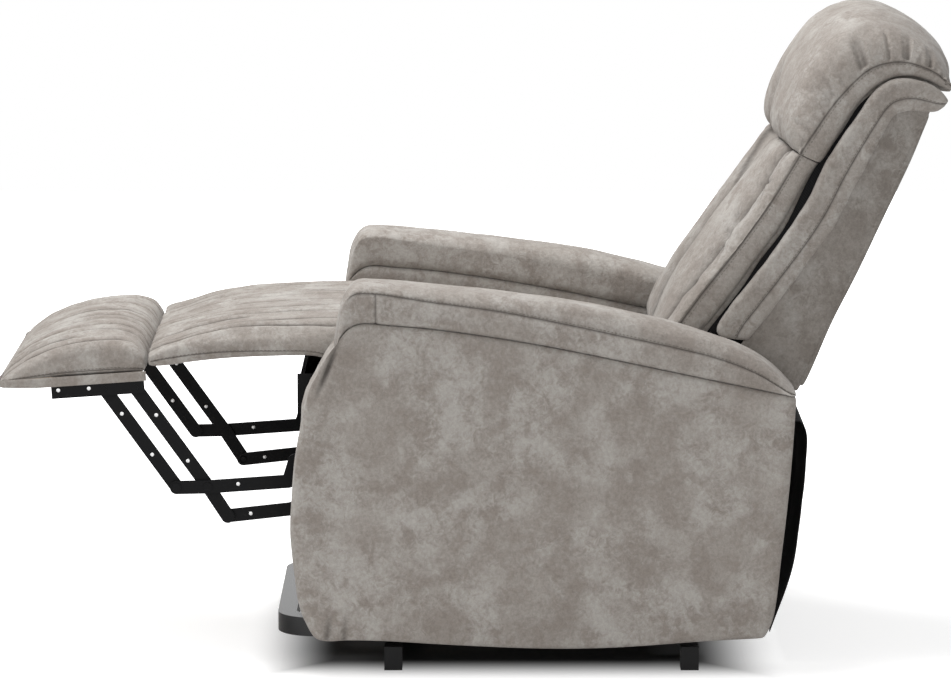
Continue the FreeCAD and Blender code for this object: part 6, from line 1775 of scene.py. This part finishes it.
@dataclass
class BackShell:
    """Covers of the back's boards: wings, collar, side panels, rear panel, and black sheets of painted shade
    in the gaps.
    """

    wing_inner: float = 246.0
    wing_outer: float = 273.0
    wing_seam: float = 24.0
    gap_shade_x: float = 242.5
    gap_shade_thick: float = 3.0
    panel_half: float = 269.6
    panel_thick: float = 13.0
    rear_foot: float = 97.0
    rear_length: float = 471.0
    rear_line: float = -190.0
    rear_thick: float = 10.0
    rear_seam: float = 225.5
    wing_face: Sequence[Pair] = ((114, -40), (119, -30), (134, -27), (224, -47), (293, -62), (373, -72),
                                 (443, -73), (529, -87), (568, -95), (590, -108), (604, -130),
                                 (611, -160), (608, -188), (601, -204))
    wing_rear: Sequence[Pair] = ((126, -80), (154, -87), (259, -110), (335, -125), (400, -130),
                                 (438, -131), (500, -134), (541, -138), (553, -147), (563, -161),
                                 (569, -180), (576, -195), (590, -204))

    def wings(self) -> None:
        """Padded band along the front of each side, with a sewn seam, flared into the collar."""
        upper, lower = BACK.curve(*self.wing_face), BACK.curve(*self.wing_rear)
        half = (self.wing_outer - self.wing_inner) / 2
        for side in Side:
            middle = side.value * (self.wing_outer + self.wing_inner) / 2
            form = PadForm(f"back_wing_{side.word}_cover", 2 * half, upper.length, 60.0, (8.0, 7.0, 3.0),
                           between(lower, upper, half, 0.0, middle), far_radius=(9.0, 7.0, 10.0), spacing=5.0,
                           along_spacing=8.0, depth_spacing=7.0, seams_through=(self.wing_seam,))
            thing = form.build()
            refine(thing, 1)
            places, normals, pattern = surface(thing)
            noise = Noise(SEED + 41 + side.value)
            ripple = noise.layers(pattern[:, 1] / 38.0, pattern[:, 2] / 40.0, 1.0, 2)
            outer = pattern[:, 0] * side.value > half - 1.0
            pucker = noise.at(pattern[:, 1] / 12.0, 1.0, 3.0) * hump(pattern[:, 2], 30.0, 9.0) * outer
            line = off_seam(pattern, self.wing_seam, outer)
            places = press_seam(places, normals, line, 1.6)
            move_corners(thing, places + normals * (1.1 * ripple + 0.7 * pucker)[:, None])
            # painted shade along the seam
            keep_painted_shade(thing, seam_shade(line))
            hand_over(thing, SUEDE, Slot.SUEDE, "back", *side.stands_for("back_wings"))
            chosen = outer & (np.abs(pattern[:, 2] - self.wing_seam - SEAM_GAP) < ON_LINE)
            Stitches(f"wing_stitches_{side.word}", [seam_places(thing, chosen)]).dress("back")

    def gap_shade_sheets(self) -> None:
        """Black sheet of painted shade at the bottom of the gap between the cushion and each wing."""
        front = BACK.curve((110, -18), (198, -39), (247, -46), (308, -59), (408, -62), (482, -76),
                           (537, -84), (570, -100))
        rear = BACK.curve((110, -60), (247, -90), (408, -110), (537, -120), (570, -130))
        for side in Side:
            bend = between(rear, front, self.gap_shade_thick / 2, 0.0, side.value * self.gap_shade_x)
            form = PadForm(f"gap_lining_{side.word}", self.gap_shade_thick, front.length, 24.0, (0.6, 0.6, 0.6),
                           bend, spacing=self.gap_shade_thick, along_spacing=12.0, depth_spacing=8.0)
            thing = form.build()
            # painted shade: a black sheet in the dust cloth's finish, where the gap lies in deep shade
            hand_over(thing, DUST_CLOTH, Slot.DUST_CLOTH, "back")

    def collar(self) -> None:
        """Padded roll between the wings."""
        half = self.wing_inner - 0.6
        upper = BACK.curve((563, -99), (577, -108), (591, -123), (602, -145), (606, -168), (604, -188),
                           (597, -203))
        lower = BACK.curve((563, -176), (566, -179), (568, -182), (569, -186), (573, -193), (580, -199),
                           (588, -203))
        form = PadForm("back_collar_cover", 2 * half, upper.length, 34.0, (6.0, 9.0, 9.0),
                       between(lower, upper, half), spacing=9.0, depth_spacing=7.0)
        thing = form.build()
        refine(thing, 1)
        places, normals, pattern = surface(thing)
        ripple = Noise(SEED + 51).layers(pattern[:, 0] / 50.0, pattern[:, 1] / 40.0, 1.0, 2)
        move_corners(thing, places + normals * (1.0 * ripple)[:, None])
        hand_over(thing, SUEDE, Slot.SUEDE, "back", "back_collar")

    def side_panels(self) -> None:
        """Stretched panel over each side board, behind the wing."""
        front = BACK.curve((112, -71), (154, -79), (259, -102), (335, -117), (438, -123), (549, -129))
        rear = BACK.curve((84, -186), (330, -186), (580, -186))
        foot = BACK.curve((84, -186), (97, -133), (112, -71))
        head = BACK.curve((580, -186), (569, -160), (549, -129))
        patch = coons(foot, head, rear, front)
        for side in Side:
            middle = side.value * (self.panel_half - self.panel_thick / 2)

            def shape(across: Array, along: Array, through: Array) -> Array:
                return np.column_stack([middle + across * self.panel_thick / 2, patch(along, through)])

            form = PadForm(f"back_side_cover_{side.word}", self.panel_thick, 470.0, 110.0, (4.0, 5.0, 5.0),
                           shape, spacing=9.0, depth_spacing=9.0)
            thing = form.build()
            refine(thing, 1)
            places, normals, pattern = surface(thing)
            soft = Noise(SEED + 61 + side.value).layers(pattern[:, 1] / 110.0, pattern[:, 2] / 60.0, 1.0, 2)
            outer = smooth_step(np.abs(normals[:, 0]), 0.5, 0.95)
            move_corners(thing, places + normals * ((1.4 * soft) * outer)[:, None])
            # painted shade: the panel gets the darker copy of the suede
            hand_over(thing, SUEDE_PAINTED_SHADE, Slot.SUEDE, "back", *side.stands_for("back_side_boards"))

    def rear_panel(self) -> None:
        """Stretched panel over the rear board, with a seam down each side."""
        half = self.panel_half - 0.4

        def shape(across: Array, along: Array, through: Array) -> Array:
            up = self.rear_foot + self.rear_length * along
            bulge = 3.5 * (1.0 - across ** 4) * np.sin(np.pi * np.clip(along, 0.0, 1.0)) * (1.0 - through)
            ahead = self.rear_line + self.rear_thick * through - bulge
            return np.column_stack([across * half, back_places(up, ahead)])

        form = PadForm("back_rear_cover", 2 * half, self.rear_length, 12.0, (5.0, 5.0, 5.0), shape,
                       spacing=11.0, depth_spacing=4.0, seams_across=(44.0, 2 * half - 44.0))
        thing = form.build()
        refine(thing, 1)
        places, normals, pattern = surface(thing)
        soft = Noise(SEED + 71).layers(pattern[:, 0] / 120.0, pattern[:, 1] / 120.0, 1.0, 2)
        rear = smooth_step(np.abs(normals[:, 1]), 0.5, 0.85)
        places = places + normals * ((1.8 * soft) * rear)[:, None]
        line = np.minimum(np.abs(pattern[:, 0] - self.rear_seam), np.abs(pattern[:, 0] + self.rear_seam))
        move_corners(thing, press_seam(places, normals, np.where(rear > 0.5, line, FAR)))
        # painted shade: the panel gets the darker copy of the suede
        hand_over(thing, SUEDE_PAINTED_SHADE, Slot.SUEDE, "back", "back_rear_board")

    def dress(self) -> None:
        """Make every cover of the back's boards."""
        self.wings()
        self.gap_shade_sheets()
        self.collar()
        self.side_panels()
        self.rear_panel()


# Hanging cloths

@dataclass
class DustCloths:
    """Black cloths that close the chair under the seat's front and behind the arms."""

    thickness: float = 1.6
    rear_half: float = 262.0
    front_half: float = 250.0

    def sheet_form(self, name: str, half_width: float, path: Curve, fold: Callable[[Array, Array], Array],
                   spacing: float) -> bpy.types.Object:
        """Thin closed cloth that hangs along a side-view path.

        Args:
            name: the piece's name.
            half_width: half its width across the chair.
            path: its line in the side view, from the top.
            fold: how far it stands out at a place across and a share along.
            spacing: grid spacing.

        Returns:
            The cloth.
        """
        def shape(across: Array, along: Array, through: Array) -> Array:
            place = path.at(along)
            step = path.heading(along, 0.02)
            out = np.column_stack([-step[:, 1], step[:, 0]])
            x = across * half_width
            lift = fold(x, along) + self.thickness * through
            return np.column_stack([x, place + out * lift[:, None]])

        form = PadForm(name, 2 * half_width, path.length, self.thickness, (0.5, 0.5, 0.5), shape,
                       spacing=spacing, depth_spacing=1.0)
        return form.build()

    def rear(self) -> None:
        """Cloth that hangs from the rear rail in soft folds."""
        path = Curve(((486, 381), (500, 384), (511, 382), (519, 366), (518, 315), (514, 262), (507, 200),
                      (500, 155), (488, 112), (474, 72), (465, 47)))
        noise = Noise(SEED + 81)

        def fold(x: Array, along: Array) -> Array:
            hang = smooth_step(along, 0.12, 0.5)
            waves = 2.2 * np.sin(2 * np.pi * x / 175.0 + 0.8 * noise.at(x / 120.0, along * 2.0))
            return hang * (waves + 1.4 * noise.layers(x / 60.0, along * 3.0, 1.0, 2))

        thing = self.sheet_form("rear_dust_cloth_cover", self.rear_half, path, fold, 8.0)
        hand_over(thing, DUST_CLOTH, Slot.DUST_CLOTH, "chair", "rear_dust_cloth")
        self.declare(thing, 2 * self.rear_half * METRE, path.length * METRE, "chair_tail_rail")

    def front(self) -> None:
        """Cloth panel under the front of the seat."""
        path = Curve(((-263, 486), (-267, 470), (-271, 440), (-273, 410), (-275, 373)))
        noise = Noise(SEED + 91)

        def fold(x: Array, along: Array) -> Array:
            return -1.0 * np.sin(np.pi * along) * (1.2 + noise.layers(x / 70.0, along * 2.0, 2.0, 2))

        thing = self.sheet_form("front_dust_panel_cover", self.front_half, path, fold, 9.0)
        hand_over(thing, DUST_CLOTH, Slot.DUST_CLOTH, "chair", "front_dust_panel")
        self.declare(thing, 2 * self.front_half * METRE, path.length * METRE, "seat_frame")

    @staticmethod
    def declare(thing: bpy.types.Object, width: float, length: float, rest: str) -> None:
        """Say how large the cloth was cut: its waves take up a little width."""
        area = sum(face.area for face in thing.data.polygons) / 2.0
        LOG.info("%s: %.3f m wide before it was hung, %.3f m after", thing.name, area / length, width)


# Frame

class FrameFinishes:
    """Finishes for the CAD nodes: by slot, but for the glossy floor tubes and the boards made black as
    painted shade in the gaps where they show.
    """

    own: dict[str, Finish] = {
        "base_front_tube": GLOSS_STEEL, "base_side_tubes": GLOSS_STEEL,
        "arm_rails": BOARD_PAINTED_SHADE, "seat_frame": BOARD_PAINTED_SHADE, "chair_tail_rail": BOARD_PAINTED_SHADE,
    }

    def dress(self, frame: dict) -> None:
        """Paint each node by the slot that the record gives it."""
        slots = {row["node"]: row["material_slot"] for row in frame["record"]["subparts"]}
        for name, node in frame["nodes"].items():
            finish = self.own.get(name, FINISH_OF_SLOT[Slot(slots[name])])
            paint(node, finish)
            LOG.info("%s: %s", name, finish.name)


# Studio

@dataclass(frozen=True)
class Lamp:
    """Square soft lamp that faces a point, in metres and watts."""

    name: str
    place: Triple
    aim: Triple
    size: float
    watts: float

    def hang(self) -> None:
        """Put the lamp into the scene."""
        data = bpy.data.lights.new(self.name, "AREA")
        data.shape = "SQUARE"
        data.size = self.size
        data.energy = self.watts
        thing = placed(self.name, data)
        thing.location = self.place
        thing.rotation_euler = (Vector(self.aim) - Vector(self.place)).to_track_quat("-Z", "Y").to_euler()


@dataclass
class Studio:
    """Pale floor, even light and the camera at the photograph's place, in metres and degrees."""

    focal_pixels: float = 4868.95
    image_width: int = 951
    camera_height: float = 1.6482
    camera_distance: float = 7.8048
    pitch: float = 8.572
    sensor: float = 36.0
    painted_shadow_middle: float = 0.06
    painted_shadow_half: Pair = (0.25, 0.28)
    lamps: tuple[Lamp, ...] = (
        Lamp("top_lamp", (-0.4, -0.6, 3.4), (0.0, -0.1, 0.5), 2.0, 108.0),
        Lamp("front_lamp", (2.0, -3.6, 2.4), (0.0, 0.0, 0.5), 2.0, 50.0),
        Lamp("side_lamp", (4.6, 1.2, 1.8), (0.0, 0.0, 0.5), 2.4, 40.0))

    def floor(self) -> None:
        """Pale floor that fades to the background, with the chair's shadow and a painted shadow under it: a
        darker colour and no glow there.
        """
        places = [(-6000, -6000, 0), (6000, -6000, 0), (6000, 6000, 0), (-6000, 6000, 0)]
        thing = mesh_object("studio_floor", np.array(places, float), np.array([[0, 1, 2, 3]]))
        made = bpy.data.materials.new("pale_floor")
        made.use_nodes = True
        sheet = Sheet(made.node_tree)
        place = sheet.add("ShaderNodeTexCoord").outputs["Object"]
        grain = sheet.noise(place, 5.0, 3.0, 0.5)
        tone = sheet.mix(grain, (0.86, 0.86, 0.86), (0.9, 0.9, 0.9))
        matt = sheet.add("ShaderNodeBsdfDiffuse", Color=tone)
        split = sheet.add("ShaderNodeSeparateXYZ", Vector=place)
        reach = sheet.add("ShaderNodeVectorMath", {"operation": "LENGTH"}, Vector=place)
        beside = sheet.maths("SUBTRACT", sheet.maths("ABSOLUTE", split.outputs["X"]), self.painted_shadow_half[0])
        centred = sheet.maths("SUBTRACT", split.outputs["Y"], self.painted_shadow_middle)
        ahead = sheet.maths("SUBTRACT", sheet.maths("ABSOLUTE", centred), self.painted_shadow_half[1])
        # painted shadow mask: 0 under the chair, rising to 1 clear of it
        clear = sheet.ramp(sheet.maths("MAXIMUM", beside, ahead), 0.0, 0.15)
        far = sheet.maths("MULTIPLY", sheet.ramp(reach.outputs["Value"], 0.8, 3.6), 0.9)
        # painted shadow: the glow is cut under the chair, and the colour seen by the camera darkens to 0.1
        # there
        strength = sheet.maths("MULTIPLY", sheet.maths("ADD", far, 0.66), clear)
        painted_shadow_floor = sheet.add("ShaderNodeBsdfDiffuse", Color=sheet.mix(clear, (0.1, 0.1, 0.1), tone))
        glow = sheet.add("ShaderNodeEmission", Color=(1.0, 1.0, 1.0, 1.0), Strength=strength)
        both = sheet.add("ShaderNodeAddShader")
        sheet.plug(both.inputs[0], painted_shadow_floor.outputs["BSDF"])
        sheet.plug(both.inputs[1], glow.outputs["Emission"])
        seen = sheet.add("ShaderNodeLightPath").outputs["Is Camera Ray"]
        choice = sheet.add("ShaderNodeMixShader", Fac=seen)
        sheet.plug(choice.inputs[1], matt.outputs["BSDF"])
        sheet.plug(choice.inputs[2], both.outputs["Shader"])
        out = sheet.add("ShaderNodeOutputMaterial")
        sheet.plug(out.inputs["Surface"], choice.outputs["Shader"])
        thing.data.materials.append(made)

    def sky(self) -> None:
        """White to the camera and in reflections, softer on the chair."""
        world = bpy.data.worlds.new("studio")
        bpy.context.scene.world = world
        world.use_nodes = True
        sheet = Sheet(world.node_tree)
        rays = sheet.add("ShaderNodeLightPath")
        seen = sheet.maths("MAXIMUM", rays.outputs["Is Camera Ray"], rays.outputs["Is Glossy Ray"])
        seen = sheet.maths("MAXIMUM", seen, rays.outputs["Is Transmission Ray"])
        strength = sheet.linear(seen, 0.66, 0.34)
        ground = sheet.add("ShaderNodeBackground", Color=(1.0, 1.0, 1.0, 1.0), Strength=strength)
        out = sheet.add("ShaderNodeOutputWorld")
        sheet.plug(out.inputs["Surface"], ground.outputs["Background"])

    def camera(self) -> None:
        """Camera level with the photograph's horizon and pointed down at the chair."""
        data = bpy.data.cameras.new("photo_camera")
        data.sensor_width = self.sensor
        data.lens = self.sensor * self.focal_pixels / self.image_width
        data.clip_end = 100.0
        thing = placed("photo_camera", data)
        angle = math.radians(self.pitch)
        right = Vector((0.0, 1.0, 0.0))
        upward = Vector((-math.sin(angle), 0.0, math.cos(angle)))
        backward = Vector((math.cos(angle), 0.0, math.sin(angle)))
        turn = Matrix((right, upward, backward)).transposed()
        place = Matrix.Translation((self.camera_distance, 0.0, self.camera_height))
        thing.matrix_world = place @ turn.to_4x4()
        bpy.context.scene.camera = thing

    def dress(self) -> None:
        """Set up floor, sky, lamps, camera and the plain view transform."""
        self.floor()
        self.sky()
        for lamp in self.lamps:
            lamp.hang()
        self.camera()
        bpy.context.scene.view_settings.view_transform = "Standard"


# Build


def main() -> None:
    """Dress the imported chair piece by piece."""
    logging.basicConfig(level=logging.INFO, format="%(message)s")
    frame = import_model()
    Studio().dress()
    FrameFinishes().dress(frame)
    SeatAndCalf().dress()
    FootrestPad().dress()
    for side in Side:
        ArmCover(side).dress()
        ArmPad(side).dress()
    ArmFronts().dress()
    BackCushion().dress()
    HeadPillow().dress()
    BackShell().dress()
    Rivets().dress()
    DustCloths().rear()
    DustCloths().front()


if __name__ == "__main__":
    main()
